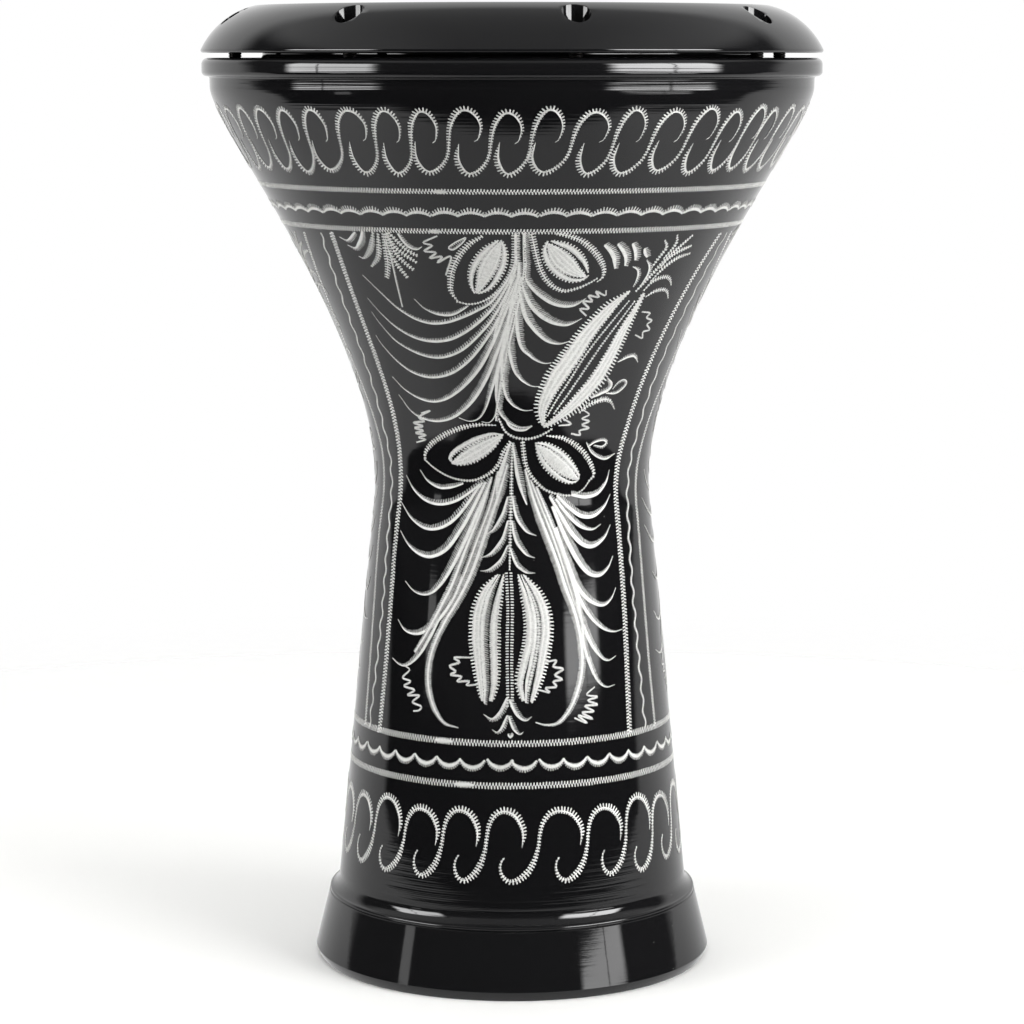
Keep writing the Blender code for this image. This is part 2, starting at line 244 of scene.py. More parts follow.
# azimuth in degrees from the front, sizes in metres; rise: the share of its height in which it grows
# bright from the foot up; fall: where it starts to dim, from 0 at its middle to 0.5 at the top; bars:
# where its glazing bars stand, 0 at its middle
windows = {
    "left_window": dict(azimuth=-65.5, width=0.74, low=0.28, high=0.88, peak=11.0, rise=0.25, fall=0.2,
                        bars=(0.1,)),
    "right_window": dict(azimuth=54.5, width=0.86, low=0.28, high=1.02, peak=16.0, rise=0.2, fall=0.0,
                         bars=(-0.048,)),
    "low_left_window": dict(azimuth=-62.5, width=0.13, low=0.1, high=0.195, peak=1.8, rise=0.2, fall=0.25,
                            bars=()),
    "low_right_window": dict(azimuth=53.0, width=0.56, low=0.1, high=0.195, peak=5.0, rise=0.3, fall=0.25,
                             bars=(-0.075,)),
}


def makeWorld():
    # white all round the drum, a dark room behind the camera under a dim ceiling
    world = bpy.data.worlds.new("studio")
    bpy.context.scene.world = world
    world.use_nodes = True
    tree = world.node_tree
    tree.nodes.clear()
    direction = addNode(tree, "TexCoord").outputs["Generated"]
    across, along, up = addNode(tree, "SeparateXYZ", [direction]).outputs
    lowered = addNode(tree, "Math", [up, -0.35, along], operation="MULTIPLY_ADD")
    behind = addNode(tree, "MapRange", [lowered, 0.27, 0.5], **smooth)
    side = addNode(tree, "Math", [across], operation="ABSOLUTE")
    dim, bright = studio["ceiling"], studio["ceiling"] * studio["ceilingSides"]
    ceiling = addNode(tree, "MapRange", [side, 0.2, 0.75, dim, bright], **smooth)
    overhead = addNode(tree, "MapRange", [up, 0.5, 0.68], **smooth)
    front = addNode(tree, "Mix", {0: overhead, 2: studio["room"], 3: ceiling}, data_type="FLOAT")
    level = addNode(tree, "Mix", {0: behind, 2: front, 3: studio["surround"]}, data_type="FLOAT")
    room = addNode(tree, "Background", {"Color": (1, 1, 1, 1), "Strength": level})
    backdrop = addNode(tree, "Background", {"Color": linear(studio["backdrop"]), "Strength": 1.0})
    seen = addNode(tree, "LightPath").outputs["Is Camera Ray"]
    mixed = addNode(tree, "MixShader", [seen, room, backdrop])
    addNode(tree, "OutputWorld", {"Surface": mixed})


def makeFloor():
    # pale paper that fades into the backdrop with distance, and is clear from below
    deselectAll()
    bpy.ops.mesh.primitive_circle_add(vertices=96, radius=studio["floorRadius"], fill_type="NGON",
                                      location=(0, 0, 0))
    floor = bpy.context.object
    floor.name = "floor"
    material, tree, spot = newMaterial("studio_paper_with_painted_reflection")
    across, along = addNode(tree, "SeparateXYZ", [spot]).outputs[:2]
    reach = addNode(tree, "VectorMath", [spot], operation="LENGTH")
    below = addNode(tree, "NewGeometry").outputs["Backfacing"]
    far = addNode(tree, "MapRange", [reach, studio["fadeFrom"], studio["fadeTo"]], **smooth)
    fade = addNode(tree, "Math", [far, below], operation="MAXIMUM")
    paper = addNode(tree, "BsdfPrincipled", {"Base Color": linear(studio["floor"]), "Roughness": 0.7})
    seen = addNode(tree, "MixShader", [fade, paper, addNode(tree, "BsdfTransparent")])
    # painted reflection: the lacquer sees not the lit paper but a glow painted on it: paper near the foot,
    # with a straight front edge and its front corners cut off, and white behind; dimmer to the front,
    # brighter to the rear and at the sides
    side = addNode(tree, "Math", [across], operation="ABSOLUTE")
    front = addNode(tree, "Math", [along, -studio["reflectionFront"]], operation="DIVIDE")
    slant = addNode(tree, "Math", [side, along], operation="SUBTRACT")
    corner = addNode(tree, "Math", [slant, studio["reflectionCorner"]], operation="DIVIDE")
    outer = addNode(tree, "Math", [front, corner], operation="MAXIMUM")
    near = addNode(tree, "MapRange", [outer, 1.04, 0.99], **smooth)
    bearing = addNode(tree, "Math", [along, reach], operation="DIVIDE")
    back = addNode(tree, "Math", [reach, -0.1, bearing], operation="MULTIPLY_ADD")
    behind = addNode(tree, "MapRange", [back, -0.05, 0.06], **smooth)
    shown = addNode(tree, "Math", [near, behind], operation="MAXIMUM")
    beside = addNode(tree, "MapRange", [side, 0.16, 0.5], **smooth)
    before = addNode(tree, "MapRange", [along, 0.15, -0.3], **smooth)
    sideways = addNode(tree, "Math", [beside, before], operation="MULTIPLY")
    dim, bright = studio["reflectionFrontDim"], studio["reflectionRearBright"]
    rear = addNode(tree, "MapRange", [along, -0.2, 0.45, dim, bright], **smooth)
    level = addNode(tree, "Math", [sideways, studio["reflectionSides"], rear], operation="MULTIPLY_ADD")
    strength = addNode(tree, "Math", [level, shown], operation="MULTIPLY")
    # painted reflection: the floor glows, for reflected rays only
    glow = addNode(tree, "Emission", {"Strength": strength})
    glossy = addNode(tree, "LightPath").outputs["Is Glossy Ray"]
    mixed = addNode(tree, "MixShader", [glossy, seen, glow])
    addNode(tree, "OutputMaterial", {"Surface": mixed})
    setMaterials(floor, material)


def makeWindow(name, azimuth, width, low, high, peak, rise, fall, bars):
    # a glowing plane that faces the drum; it dims to its ends, its foot and its top
    deselectAll()
    bpy.ops.mesh.primitive_plane_add(size=1, location=(0, 0, 0))
    window = bpy.context.object
    window.name = name
    window.scale = (width, high - low, 1)
    a = math.radians(azimuth)
    far = studio["windowDistance"]
    window.location = (far * math.sin(a), -far * math.cos(a), (low + high) / 2)
    window.rotation_euler = (math.pi / 2, 0, a + math.pi)
    material, tree, spot = newMaterial(name + "_light")
    across, upwards = addNode(tree, "SeparateXYZ", [spot]).outputs[:2]
    middle = addNode(tree, "Math", [across], operation="ABSOLUTE")
    ends = addNode(tree, "MapRange", [middle, 0.5, 0.36], **smooth)
    foot = addNode(tree, "MapRange", [upwards, -0.5, rise - 0.5], **smooth)
    top = addNode(tree, "MapRange", [upwards, 0.5, fall], **smooth)
    level = addNode(tree, "Math", [ends, foot], operation="MULTIPLY")
    level = addNode(tree, "Math", [level, top], operation="MULTIPLY")
    for bar in bars:
        off = addNode(tree, "Math", [across, bar], operation="SUBTRACT")
        near = addNode(tree, "Math", [off], operation="ABSOLUTE")
        clearOfBar = addNode(tree, "MapRange", [near, 0.006, 0.014, studio["barDim"], 1.0], **smooth)
        level = addNode(tree, "Math", [level, clearOfBar], operation="MULTIPLY")
    matt = addNode(tree, "LightPath").outputs["Is Diffuse Ray"]
    share = addNode(tree, "MapRange", [matt, 0.0, 1.0, peak, peak * studio["windowOnMatt"]], **smooth)
    strength = addNode(tree, "Math", [level, share], operation="MULTIPLY")
    glow = addNode(tree, "Emission", {"Strength": strength})
    rear = addNode(tree, "NewGeometry").outputs["Backfacing"]
    mixed = addNode(tree, "MixShader", [rear, glow, addNode(tree, "BsdfTransparent")])
    addNode(tree, "OutputMaterial", {"Surface": mixed})
    setMaterials(window, material)
    window.visible_camera = False
    window.visible_shadow = False


def makeStudio():
    camera = bpy.data.cameras.new("front")
    camera.lens = studio["lens"]
    camera.sensor_width = studio["sensor"]
    viewer = bpy.data.objects.new("front", camera)
    viewer.location = (0, -studio["cameraDistance"], studio["cameraHeight"])
    viewer.rotation_euler = (math.radians(90 - studio["pitch"]), 0, 0)
    bpy.context.collection.objects.link(viewer)
    bpy.context.scene.camera = viewer
    bpy.context.scene.view_settings.view_transform = "Standard"
    makeWorld()
    makeFloor()
    for name, settings in windows.items():
        makeWindow(name, **settings)
    light = bpy.data.lights.new("overhead", "AREA")
    light.size = studio["lampSize"]
    light.energy = studio["lampPower"]
    lamp = bpy.data.objects.new("overhead", light)
    lamp.location = studio["lampPlace"]
    lamp.visible_glossy = False
    lamp.visible_camera = False
    bpy.context.collection.objects.link(lamp)
    print("studio")


# Materials: each noise is scaled for a feature of so many millimetres

def scaleFor(size):
    return 1000.0 / size


def lacquerMaterial(name, peel, rings, dust):
    # gloss black stove lacquer on a casting: deep black, mirror-like, a faint orange peel, the lathe's
    # fine rings showing through near the lip and the foot, and settled specks of dust
    material, tree, spot = newMaterial(name)
    wave = addNode(tree, "TexNoise", {"Vector": spot, "Scale": scaleFor(5.0), "Detail": 3.0})
    stretched = addNode(tree, "Mapping", {"Vector": spot, "Scale": (6.0, 6.0, scaleFor(1.1))})
    lathe = addNode(tree, "TexNoise", {"Vector": stretched, "Scale": 1.0, "Detail": 2.0})
    high = addNode(tree, "SeparateXYZ", [spot]).outputs["Z"]
    nearLip = addNode(tree, "MapRange", [high, 0.378, 0.392, 0.0, 1.6], **smooth)
    nearFoot = addNode(tree, "MapRange", [high, 0.075, 0.045], **smooth)
    aboveSkirt = addNode(tree, "MapRange", [high, 0.03, 0.036, 0.06, 1.0], **smooth)
    onStem = addNode(tree, "Math", [nearFoot, aboveSkirt], operation="MULTIPLY")
    zone = addNode(tree, "Math", [nearLip, onStem], operation="MAXIMUM")
    amount = addNode(tree, "Math", [zone, rings, rings * 0.12], operation="MULTIPLY_ADD")
    latheBump = addNode(tree, "Bump", {"Height": lathe, "Strength": amount, "Distance": 0.00012})
    peelBump = addNode(tree, "Bump", {"Height": wave, "Strength": peel, "Distance": 0.00025,
                                      "Normal": latheBump})
    specks = addNode(tree, "TexVoronoi", {"Vector": spot, "Scale": scaleFor(9.0)})
    speckSize = addNode(tree, "MapRange", [specks, 0.02, 0.035, 1.0, 0.0])
    patch = addNode(tree, "TexNoise", {"Vector": spot, "Scale": scaleFor(60.0), "Detail": 1.0})
    patchy = addNode(tree, "MapRange", [patch, 0.56, 0.68, 0.0, dust])
    dusty = addNode(tree, "Math", [speckSize, patchy], operation="MULTIPLY")
    colour = addNode(tree, "Mix", {0: dusty, 6: linear("#0f0f10"), 7: linear("#8a8a86")}, data_type="RGBA")
    haze = addNode(tree, "TexNoise", {"Vector": spot, "Scale": scaleFor(22.0), "Detail": 4.0})
    gloss = addNode(tree, "MapRange", [haze, 0.3, 0.7, 0.035, 0.075])
    finishMaterial(tree, {"Base Color": colour, "Roughness": gloss, "IOR": 1.5, "Normal": peelBump})
    return material


def castInsideMaterial():
    # sand-cast aluminium with a thin spray of the same black: grainy, dull, paler where the spray is thin
    material, tree, spot = newMaterial("sprayed_sand_casting")
    grain = addNode(tree, "TexNoise", {"Vector": spot, "Scale": scaleFor(1.2), "Detail": 5.0})
    cloud = addNode(tree, "TexNoise", {"Vector": spot, "Scale": scaleFor(45.0), "Detail": 5.0})
    spray = addNode(tree, "ValToRGB", [cloud])
    stops = zip(spray.color_ramp.elements, ("#161616", "#4c4c4b"), (0.4, 0.75))
    for stop, colour, position in stops:
        stop.color = linear(colour)
        stop.position = position
    bump = addNode(tree, "Bump", {"Height": grain, "Strength": 0.6, "Distance": 0.0004})
    rough = addNode(tree, "MapRange", [grain, 0.0, 1.0, 0.45, 0.8])
    finishMaterial(tree, {"Base Color": spray, "Roughness": rough, "Metallic": 0.35, "Normal": bump})
    return material


# grain in millimetres; it moves colour, gloss and height together. spread: which of it counts for gloss
metals = {
    # lathe-turned and lacquer-free: pale, satin, with fine rings across the turning direction
    "turned_aluminium": dict(grain=0.25, turned=True, detail=3.0, colours=("#b4b5b4", "#dcdddb"),
                             spread=(0.3, 0.7), rough=(0.22, 0.36), bump=(0.25, 0.00005), metallic=1.0),
    # rolled strip: a little darker and duller
    "rolled_aluminium": dict(grain=0.25, turned=True, detail=3.0, colours=("#a9abac", "#cfd0cf"),
                             spread=(0.3, 0.7), rough=(0.3, 0.45), bump=(0.25, 0.00005), metallic=1.0),
    # oiled black oxide: blue-black, satin, a little brown
    "black_oxide_steel": dict(grain=2.0, turned=False, detail=4.0, colours=("#1b1c1f", "#3a3733"),
                              spread=(0.0, 1.0), rough=(0.28, 0.5), bump=(0.1, 0.00004), metallic=0.9),
    # bright zinc plate: pale blue-grey, cloudy, soft gloss
    "zinc_plated_steel": dict(grain=1.5, turned=False, detail=4.0, colours=("#9fa3a8", "#d5d8da"),
                              spread=(0.0, 1.0), rough=(0.18, 0.45), bump=(0.08, 0.00004), metallic=1.0),
}


def metalMaterial(name):
    metal = metals[name]
    dark, light = [linear(colour) for colour in metal["colours"]]
    strength, distance = metal["bump"]
    material, tree, spot = newMaterial(name)
    scale = scaleFor(metal["grain"])
    if metal["turned"]:
        spot = addNode(tree, "Mapping", {"Vector": spot, "Scale": (20.0, 20.0, scale)})
        scale = 1.0
    grain = addNode(tree, "TexNoise", {"Vector": spot, "Scale": scale, "Detail": metal["detail"]})
    colour = addNode(tree, "Mix", {0: grain, 6: dark, 7: light}, data_type="RGBA")
    gloss = addNode(tree, "MapRange", [grain, *metal["spread"], *metal["rough"]])
    bump = addNode(tree, "Bump", {"Height": grain, "Strength": strength, "Distance": distance})
    finishMaterial(tree, {"Base Color": colour, "Roughness": gloss, "Metallic": metal["metallic"],
                          "Normal": bump})
    return material


def brightCutMaterial():
    # aluminium laid bare by the graver, satin; its colour is painted shade and highlight from each cut's
    # tone: white where a cut would face the light, greyer on the flanks
    material, tree, spot = newMaterial("bright_cut_aluminium")
    tone = addNode(tree, "Attribute", attribute_name="tone").outputs["Fac"]
    streak = addNode(tree, "TexNoise", {"Vector": spot, "Scale": scaleFor(0.8), "Detail": 3.0,
                                        "Roughness": 0.65})
    grain = addNode(tree, "MapRange", [streak, 0.3, 0.7, -0.14, 0.12], **smooth)
    share = addNode(tree, "Math", [tone, grain], operation="ADD")
    # painted shade and highlight: the colour goes from near black to white with the cut's tone, plus grain
    colour = addNode(tree, "Mix", {0: share, 6: linear("#191919"), 7: linear("#dadad7")}, data_type="RGBA")
    rough = addNode(tree, "MapRange", [streak, 0.3, 0.7, 0.4, 0.6], **smooth)
    bump = addNode(tree, "Bump", {"Height": streak, "Strength": 0.35, "Distance": 0.0001})
    finishMaterial(tree, {"Base Color": colour, "Roughness": rough, "Metallic": 0.4, "Normal": bump})
    return material


def filmMaterial():
    # clear polyester drum film with a fine sprayed playing surface: milky, see-through, soft sheen
    material, tree, spot = newMaterial("coated_polyester_film")
    spray = addNode(tree, "TexNoise", {"Vector": spot, "Scale": scaleFor(0.8), "Detail": 4.0})
    cloud = addNode(tree, "TexNoise", {"Vector": spot, "Scale": scaleFor(30.0), "Detail": 3.0})
    colour = addNode(tree, "Mix", {0: cloud, 6: linear("#dfe0de"), 7: linear("#f4f5f3")}, data_type="RGBA")
    rough = addNode(tree, "MapRange", [spray, 0.3, 0.7, 0.22, 0.42])
    bump = addNode(tree, "Bump", {"Height": spray, "Strength": 0.15, "Distance": 0.00005})
    finishMaterial(tree, {"Base Color": colour, "Roughness": rough, "IOR": 1.6, "Transmission Weight": 0.55,
                          "Normal": bump})
    return material


# The body

def sweepPoint(share):
    # the bowl's outside, 0 at the lip and 1 at the throat, with its outward normal
    size = body
    taper = (size["stemBaseRadius"] - size["throatRadius"]) / size["stemLength"]
    pull = size["lowerPull"] / math.hypot(1, taper)
    top = Vector((size["bowlRadius"], bowlTop))
    upper = Vector((size["bowlRadius"], bowlTop - size["upperPull"]))
    lower = Vector((size["throatRadius"] - taper * pull, throat + pull))
    low = Vector((size["throatRadius"], throat))
    rest = 1 - share
    point = rest**3 * top + 3 * rest**2 * share * upper + 3 * rest * share**2 * lower + share**3 * low
    slope = rest**2 * (upper - top) + 2 * rest * share * (lower - upper) + share**2 * (low - lower)
    slope.normalize()
    return point, Vector((-slope.y, slope.x))


def sweep(inset, steps):
    points = []
    for i in range(steps + 1):
        point, normal = sweepPoint(i / steps)
        points.append(tuple(point - inset * normal))
    return points


def stemPoint(share):
    # the straight taper, 0 at the throat and 1 at the cove
    return (body["throatRadius"] + share * (body["stemBaseRadius"] - body["throatRadius"]),
            throat - share * body["stemLength"])


def bodySection():
    size = body
    # bearing edge and collar
    crown = size["collarRadius"] - size["bearingRound"]
    inner = size["collarRadius"] - size["collarWall"]
    bevel = size["collarWall"] - size["bearingRound"] - size["bearingFlat"]
    points = [(inner, bearingTop - bevel), (crown - size["bearingFlat"], bearingTop)]
    points += arc((crown, bearingTop - size["bearingRound"]), size["bearingRound"], 90, 0, 10)
    fillet = size["collarFillet"]
    points += arc((size["collarRadius"] + fillet, shelfTop + fillet), fillet, 180, 270, 8)
    # lip and neck
    top, low, small = size["lipTopRound"], size["lipLowerRound"], size["neckFillet"]
    rise = shelfTop + size["lipRise"]
    points.append((size["lipRadius"] - size["lipRiseFrom"], shelfTop))
    points.append((size["lipRadius"] - size["lipRiseTo"], rise))
    points += arc((size["lipRadius"] - top, rise - top), top, 90, 0, 12)
    points += arc((size["lipRadius"] - low, lipBottom + low), low, 0, -90, 12)[:-1]
    points += arc((size["bowlRadius"] + size["neckLean"] + small, lipBottom - small), small, 90, 180, 6)
    # bowl, stem, cove and ledge
    points += sweep(0.0, 120)
    points += [stemPoint(i / 60) for i in range(1, 60)]
    cove = size["coveRadius"]
    points += arc((size["stemBaseRadius"] + cove, stemBase), cove, 180, 180 + math.degrees(coveReach), 10)
    points += arc((size["ledgeRadius"] - size["ledgeRound"], ledgeTop), size["ledgeRound"], 90, 0, 8)
    points += [(size["ledgeRadius"], skirtTop + 0.1), (size["ledgeRadius"] - 0.5, skirtTop - 0.35)]
    # skirt and rim, their edges eased by a few tenths
    spread = size["footRadius"] - size["ledgeRadius"]
    first = size["skirtStart"]
    for i in range(13):
        share = first + (1 - first) * i / 12
        points.append((size["ledgeRadius"] + spread * share, skirtTop - size["skirt"] * share))
    points += [(size["footRadius"] - 0.12, size["chamfer"] - 0.3), (size["rimRadius"] + 0.1, 0.25),
               (size["rimRadius"] - 0.15, 0.0)]
    rimInner = size["rimRadius"] - size["rimWidth"]
    points += [(rimInner + 0.3, 0.0), (rimInner, 0.3), (rimInner, size["footWall"] / 2)]
    # inside, a wall's thickness in
    wall = size["wall"]
    ramp = size["footRadius"] - wall - spread * (size["footWall"] - size["chamfer"]) / size["skirt"]
    points += [(ramp, size["footWall"]), (size["ledgeRadius"] - wall, skirtTop)]
    points.append((size["stemBaseRadius"] - wall, stemBase))
    points += list(reversed(sweep(wall, 60)))
    points += [(size["bowlRadius"] - wall, shelfBottom), (inner, shelfBottom)]
    return points


def bodyProfile():
    # outside of the stem and bowl from the cove up: height, radius, length along it and normal
    points = []
    for i in range(200):
        share = i / 200
        points.append((body["stemBaseRadius"] + share * (body["throatRadius"] - body["stemBaseRadius"]),
                       stemBase + share * body["stemLength"]))
    spots = np.array(points + list(reversed(sweep(0.0, 400))))
    steps = np.diff(spots, axis=0)
    along = np.concatenate([[0], np.cumsum(np.hypot(steps[:, 0], steps[:, 1]))])
    slope = unit(np.gradient(spots, along, axis=0))
    return {"radius": spots[:, 0], "height": spots[:, 1], "along": along,
            "normalOut": slope[:, 1], "normalUp": -slope[:, 0]}


profile = bodyProfile()


def makeBody(lacquer, casting, turned):
    shell = turnProfile("shell_turned", bodySection(), body["turns"])
    tip = boltSeat - screws["length"]
    bosses = [roundBar(screws["bossRadius"], tip - screws["bossDepth"], shelfBottom + 4, 32, p)
              for p in screwPlaces]
    boolean(shell, joinAll(bosses), "UNION")
    taps = [roundBar(screws["tapRadius"], tip - screws["tapDepth"], shelfTop + 2, 32, p) for p in screwPlaces]
    boolean(shell, joinAll(taps), "DIFFERENCE")
    dress(shell, lacquer, casting, turned)
    cast, bare = 1, 2
    # the bearing edge is bare metal, and all that lies a little inside the outer skin is as cast
    for face in shell.data.polygons:
        r = math.hypot(face.center.x, face.center.y) / mm
        z = face.center.z / mm
        outside = np.interp(z, profile["height"], profile["radius"])
        inwards = face.normal.x * face.center.x + face.normal.y * face.center.y < 0
        inBowl = stemBase < z < bowlTop and r < outside - 1.5
        inFoot = z <= stemBase and (8 < z and r < body["stemBaseRadius"] - 1.0 or r < 87.0 and inwards)
        underShelf = bowlTop <= z < shelfTop - 1 and r < body["bowlRadius"] - 1.5
        if z > bearingTop - 2.5:
            face.material_index = bare
        elif inBowl or inFoot or underShelf:
            face.material_index = cast
    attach(shell, "shell")
    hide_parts("shell")
    print("body", len(shell.data.polygons), "faces")


# The ring, head, hoop and screws

ringSizes = {
    "radius": 140.0, "crownRadius": 115.6, "noseRadius": 114.4, "noseRound": 1.2, "noseDepth": 5.8,
    "bulge": 3.5, "lowerFace": 0.45, "edgeRound": 1.1, "edgeTurn": 24.0, "pocketRadius": 117.6,
    "seatWidth": 1.3, "wellBevel": 0.3, "turns": 240,
}


def makeRing(lacquer):
    size = ringSizes
    crown = Vector((size["crownRadius"], ringTop))
    bend = size["edgeRound"]
    low = ringBottom - size["lowerFace"]
    turn = math.radians(size["edgeTurn"])
    edge = Vector((size["radius"] - bend + bend * math.cos(turn), low + bend + bend * math.sin(turn)))
    chord = edge - crown
    radius = (chord.length**2 / 4 + size["bulge"]**2) / (2 * size["bulge"])
    inwards = Vector((chord.y, -chord.x)).normalized()
    centre = (crown + edge) / 2 + (radius - size["bulge"]) * inwards
    start = math.degrees(math.atan2(crown.y - centre.y, crown.x - centre.x))
    end = math.degrees(math.atan2(edge.y - centre.y, edge.x - centre.x))
    points = arc((crown.x, crown.y - size["noseRound"]), size["noseRound"], 180, 90, 8)
    points += arc(centre, radius, start, end, 48)[1:]
    points += arc((size["radius"] - bend, low + bend), bend, size["edgeTurn"], -90, 12)[1:]
    pocketTop = hoopTop + fit["clearance"]
    points += [(size["pocketRadius"], low), (size["pocketRadius"], pocketTop)]
    points += [(size["pocketRadius"] - size["seatWidth"], pocketTop)]
    points.append((size["noseRadius"], ringTop - size["noseDepth"]))
    ring = turnProfile("ring_turned", points, size["turns"])
    for bore, bottom, sides in ((screws["holeRadius"], ringBottom - 2, 40),
                                (screws["wellRadius"], ringBottom + screws["wellFloor"], 64)):
        bars = [roundBar(bore, bottom, ringTop + 2, sides, p) for p in screwPlaces]
        boolean(ring, joinAll(bars), "DIFFERENCE")
    bevelWellRims(ring)
    dress(ring, lacquer)
    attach(ring, "ring")
    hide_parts("tuning_ring")
    print("ring", len(ring.data.polygons), "faces")


def bevelWellRims(ring):
    # each well has a small even bevel round its mouth
    makeActive(ring)
    bpy.ops.object.mode_set(mode="EDIT")
    bpy.ops.mesh.select_mode(type="EDGE")
    bpy.ops.mesh.select_all(action="DESELECT")
    bpy.ops.object.mode_set(mode="OBJECT")
    spots = np.empty(len(ring.data.vertices) * 3)
    ring.data.vertices.foreach_get("co", spots)
    spots = spots.reshape(-1, 3) / mm
    reach = np.min([np.hypot(spots[:, 0] - x, spots[:, 1] - y) for x, y in screwPlaces], axis=0)
    rim = (np.abs(reach - screws["wellRadius"]) < 0.03) & (spots[:, 2] > ringBottom + 4)
    for edge in ring.data.edges:
        first, second = edge.vertices
        level = abs(spots[first, 2] - spots[second, 2]) < 1.2
        edge.select = bool(rim[first] and rim[second] and level)
    bpy.ops.object.mode_set(mode="EDIT")
    bpy.ops.mesh.bevel(offset=ringSizes["wellBevel"] * mm, segments=2, affect="EDGES", clamp_overlap=True)
    bpy.ops.mesh.select_all(action="SELECT")
    bpy.ops.mesh.remove_doubles(threshold=0.000002)
    bpy.ops.mesh.normals_make_consistent(inside=False)
    bpy.ops.object.mode_set(mode="OBJECT")


headSizes = {
    "skirtAngle": 14, "skirtDrop": 11.45, "hoopGap": 0.5, "hoopOuter": 117.2, "hoopWall": 0.8,
    "hoopHeight": 8, "hoopInnerHeight": 5, "turns": 180,
}


def filmEdge(offset):
    # the film rolls over the bearing edge and runs down as a slanting skirt
    size = headSizes
    centre = (body["collarRadius"] - body["bearingRound"], bearingTop - body["bearingRound"])
    points = arc(centre, body["bearingRound"] + offset, 90, size["skirtAngle"], 10)
    drop = points[-1][1] - (bearingTop - size["skirtDrop"])
    points.append((points[-1][0] + drop * math.tan(math.radians(size["skirtAngle"])), points[-1][1] - drop))
    return points


def makeHead(film, aluminium):
    size = headSizes
    near, thick = fit["clearance"], fit["film"]  # the film's gap to the bearing edge, and its thickness
    points = [(0.0, filmBottom + thick)] + filmEdge(near + thick) + list(reversed(filmEdge(near)))
    head = turnProfile("head_turned", points + [(0.0, filmBottom)], size["turns"], closed=False)
    dress(head, film)
    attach(head, "shell")
    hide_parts("head_film")
    # the hoop is a channel, open at the top towards the collar, with its edges eased
    low, wall = hoopTop - size["hoopHeight"], size["hoopWall"]
    inner, outer = body["collarRadius"] + size["hoopGap"], size["hoopOuter"]
    ledge = low + size["hoopInnerHeight"]
    points = [(inner, low + 0.3), (inner, ledge - 0.2), (inner + 0.2, ledge), (inner + wall - 0.2, ledge),
              (inner + wall, ledge - 0.2), (inner + wall, low + 1), (outer - wall, low + 1),
              (outer - wall, hoopTop - 0.2), (outer - wall + 0.2, hoopTop), (outer - 0.2, hoopTop),
              (outer, hoopTop - 0.2), (outer, low + 0.5), (outer - 0.5, low), (inner + 0.3, low)]
    hoop = turnProfile("hoop_rolled", points, size["turns"])
    dress(hoop, aluminium)
    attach(hoop, "ring")
    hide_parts("head_hoop")
    print("head and hoop")


def makeScrews(steel, zinc):
    size = screws
    shank = size["diameter"] / 2
    head = size["headDiameter"] / 2
    points = [(0.0, -size["length"]), (shank - 0.6, -size["length"])]
    z = 0.6 - size["length"]
    while z < -size["washerThick"]:  # rings of the thread, one a pitch
        points += [(shank - 0.02, z + 0.06), (shank - 0.02, z + 0.19), (shank - size["threadDepth"], z + 0.6)]
        z += size["pitch"]
    points += [(shank, z + 0.3), (shank, -0.35)] + arc((shank + 0.35, -0.35), 0.35, 180, 90, 3)[1:]
    points += [(head - 0.15, 0.0), (head, 0.15), (head, 0.7), (head - 0.12, 0.9), (head - 0.12, 5.1),
               (head, 5.2)]
    points += arc((head - 0.5, size["headHeight"] - 0.5), 0.5, 0, 90, 4)
    points.append((0.0, size["headHeight"]))
    screw = turnProfile("screw", points, 48, closed=False)
    corner = size["hex"] / 2 / math.cos(math.radians(30))
    key = roundBar(corner, size["headHeight"] - size["hexDepth"], size["headHeight"] + 2, 6, (0, 0))
    applyPlace(key)
    boolean(screw, key, "DIFFERENCE")
    dress(screw, steel)
    bore, rim, thick = size["washerBore"], size["washer"] / 2, size["washerThick"]
    points = [(bore, 0.1), (bore, thick - 0.1), (bore + 0.1, thick), (rim - 0.25, thick), (rim, thick - 0.25),
              (rim, 0.1), (rim - 0.1, 0.0), (bore + 0.1, 0.0)]
    washer = turnProfile("washer", points, 64)
    dress(washer, zinc)
    for number, (x, y) in enumerate(screwPlaces, start=1):
        for model, name, low, owner, node, slot in (
                (screw, "screw", boltSeat, f"bolt_{number}", f"tension_bolt_{number}", "screws"),
                (washer, "washer", washerBottom, "ring", f"bolt_washer_{number}", "washers")):
            piece = bpy.data.objects.new(f"{name}_turned_{number}", model.data.copy())
            bpy.context.collection.objects.link(piece)
            piece.data.transform(Matrix.Rotation(math.radians(size["twist"] * number), 4, "Z"))
            piece.data.transform(Matrix.Translation((x * mm, y * mm, low * mm)))
            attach(piece, owner)
            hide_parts(node)
    for model in (screw, washer):
        bpy.data.objects.remove(model, do_unlink=True)
    print("screws and washers")


# The engraving, in millimetres on the body: a spot is its angle, 0 at the front and growing to +X, and
# its distance along the profile

viewWidth = 1024  # the drawings below are made on a front view of so many units, as the camera sees it
cutLift = {"edge": 0.03, "ridge": 0.09, "ridgeStep": 0.04, "barEdge": 0.02, "barRidge": 0.13, "root": -0.1,
           "layers": 6, "layer": 0.018}


def radiusAt(along):
    return np.interp(along, profile["along"], profile["radius"])


def alongAt(height):
    return np.interp(height, profile["height"], profile["along"])


def onBody(spot, lift):
    angle, along = spot[..., 0], spot[..., 1]
    out, up, height = [np.interp(along, profile["along"], profile[key])
                       for key in ("normalOut", "normalUp", "height")]
    r = radiusAt(along) + lift * out
    return np.stack([r * np.sin(angle), -r * np.cos(angle), height + lift * up], axis=-1) * mm


